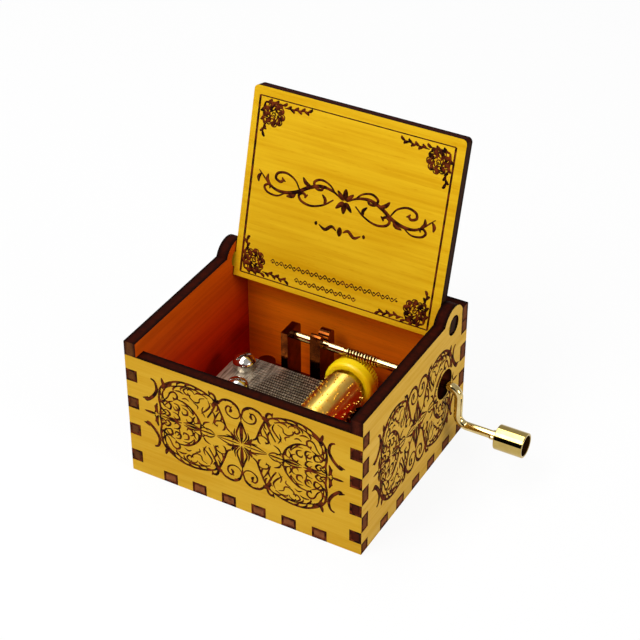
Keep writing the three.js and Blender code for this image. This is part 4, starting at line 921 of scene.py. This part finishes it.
# Engraving on the four walls, centred above their feet and clear of the crank's hole
UP = (0, 0, 1)
BROAD_CENTRE, SIDE_CENTRE = Vector((0, 0, 20.4)), Vector((0, 0.6, 19.8))
broad_work = panel_strokes(27.0, 12.6)
side_work = panel_strokes(21.9, 13.1, bolder=1.2)
for side, right, foot, *_ in WALLS:
    work, centre = (broad_work, BROAD_CENTRE) if side in ("front", "back") else (side_work, SIDE_CENTRE)
    hole = ((SHAFT - SIDE_CENTRE).yz, CRANK_HOLE + HOLE_MARGIN) if side == "right" else None
    on_wall = laid_on(right, UP, Vector(foot) + centre)
    engraved(side + "_scrollwork", work, on_wall, "case", "board_" + side, hole)
for side, right, foot, half_width, base_tabs, ends in WALLS:
    scorched_seams(side + "_seams", half_width, base_tabs, ends, laid_on(right, UP, foot), "board_" + side)

# Engraving on the lid: places in mm from the middle of what shows of its inner face
lid_up = Vector((0, -math.cos(LID_OPEN), math.sin(LID_OPEN)))
lid_middle = HINGE + lid_up * (LID_REACH - LID_WINDOW[1] / 2)
BORDER = [(-26.6, 22.8), (26, 22.8), (26, -23.4), (-26.6, -23.4)]
BORDER_WIDTHS = (0.32, 0.55, 0.32, 0.62)
SPRAYS = ((1, -1, -22.3, 18.7), (-1, -1, 22.1, 18.3), (1, 1, -23.0, -19.4), (-1, 1, 22.0, -19.7))
border = [ruled(width, a, b) for width, a, b in zip(BORDER_WIDTHS, BORDER, BORDER[1:] + BORDER[:1])]
for x_sign, y_sign, x, y in SPRAYS:
    border += mirrored(corner_spray(), (x_sign,), (y_sign,), shift=(x, y))
ornaments = (mirrored(FLOURISH, (1, -1), (1,), shift=(-0.4, 2.3), bolder=1.35)
             + mirrored(SMALL_FLOURISH, (1, -1), (1,), shift=(-0.7, -5.6), bolder=1.2)
             + mirrored(vine(17.6, 1.3), (1,), (1,), shift=(-0.8, -18.4))
             + mirrored(vine(8.8, 1.3), (1,), (1,), shift=(-2.4, -21.4)))
engraved("lid_inner_engraving", border + ornaments,
         laid_on((1, 0, 0), lid_up, lid_middle + lid_in * LID_HALF_THICKNESS), "lid", "board_lid")

# The lid's outer face isn't seen in the photograph: it has the inner one's border, corners and large flourish
engraved("lid_outer_engraving", border + mirrored(FLOURISH, (1, -1), (1,), shift=(-0.3, -0.3), bolder=1.35),
         laid_on((-1, 0, 0), lid_up, lid_middle - lid_in * LID_HALF_THICKNESS), "lid", "board_lid")

# Camera at the photograph's viewing angle: its place and target in mm
CAMERA_PLACE, CAMERA_TARGET = (174.056, -300.481, 287.130), (-8.873, 26.417, 20.0)
camera_data = bpy.data.cameras.new("studio_camera")
camera_data.lens = 100.486
camera_data.sensor_width = 36.0
camera_data.clip_start, camera_data.clip_end = 0.01, 10.0
camera = new_object("studio_camera", camera_data)
camera.location = Vector(CAMERA_PLACE) * MM
gaze = Vector(CAMERA_TARGET) * MM - camera.location
camera.rotation_euler = gaze.to_track_quat("-Z", "Y").to_euler()
bpy.context.scene.camera = camera

# White floor: most of what the camera sees of it is plain white, and the rest keeps the object's shadow
FLOOR_WHITE = 0.92
floor_material, floor_tree, floor_shader = finish_of("studio_floor", Base_Color=linear("#E2E2E2"),
                                                     Roughness=0.9, Specular_IOR_Level=0.0)
floor_sight = add(floor_tree, "LightPath")
floor_seen = add(floor_tree, "Math", {0: floor_sight.outputs["Is Camera Ray"],
                                      1: floor_sight.outputs["Is Glossy Ray"]}, operation="MAXIMUM")
floor_share = add(floor_tree, "Math", {0: floor_seen, 1: FLOOR_WHITE}, operation="MULTIPLY")
floor_white = add(floor_tree, "Emission", {"Color": (1, 1, 1, 1), "Strength": 1.0})
floor_both = add(floor_tree, "MixShader", {0: floor_share, 1: floor_shader, 2: floor_white})
feed(floor_tree.nodes["Material Output"], {"Surface": floor_both})
floor = primitive(bpy.ops.mesh.primitive_plane_add, size=8.0)
floor.name = "studio_floor"
wear(floor, floor_material)

# White surroundings for the camera, and a plain level of light on the object
SKY_FILL, SKY_IN_METAL = 0.25, 0.5
world = bpy.data.worlds.new("studio")
bpy.context.scene.world = world
world.use_nodes = True
sky = world.node_tree
sky.nodes.clear()
path = add(sky, "LightPath")
sight = add(sky, "Math", {0: path.outputs["Is Camera Ray"], 1: path.outputs["Is Transmission Ray"]},
            operation="MAXIMUM")
fill, white, room = (add(sky, "Background", {"Color": (1, 1, 1, 1), "Strength": strength})
                     for strength in (SKY_FILL, 1.0, SKY_IN_METAL))
light = add(sky, "MixShader", {0: path.outputs["Is Glossy Ray"], 1: fill, 2: room})
both = add(sky, "MixShader", {0: sight, 1: light, 2: white})
add(sky, "OutputWorld", {"Surface": both})


def lamp(name, place, target, width, length, power):
    """A soft lamp: its place, target and sides in mm, and its power in watts."""
    data = bpy.data.lights.new(name, "AREA")
    data.shape = "RECTANGLE"
    data.size, data.size_y = width * MM, length * MM
    data.energy = power
    light = new_object(name, data)
    light.location = Vector(place) * MM
    light.rotation_euler = (Vector(target) * MM - light.location).to_track_quat("-Z", "Y").to_euler()


# Three soft lamps: from the front left, from above, and from the right
lamp("key", (-113, -362, 511), (50, 15, 11), 340, 340, 1.38)
lamp("overhead", (-190, -220, 650), (-190, -219.9, 0), 250, 1100, 4.7)
lamp("side", (620, -100, 260), (0, 0, 25), 200, 200, 2.2)

# A black card in front, seen by reflections alone: it puts the dark band in round polished metal
CARD_MIDDLE, CARD_WIDTH, CARD_HEIGHT = (-75, -560, 270), 850, 500
card = primitive(bpy.ops.mesh.primitive_plane_add, (CARD_WIDTH * MM, CARD_HEIGHT * MM, 1.0), size=1.0,
                 location=Vector(CARD_MIDDLE) * MM, rotation=(math.pi / 2, 0, 0))
card.name = "black_card"
card_material, *_ = finish_of("black_card", Base_Color=linear("#0A0A0A"), Roughness=0.9,
                              Specular_IOR_Level=0.0)
wear(card, card_material)
card.visible_camera = card.visible_diffuse = card.visible_shadow = card.visible_transmission = False

bpy.context.scene.view_settings.view_transform = "Standard"
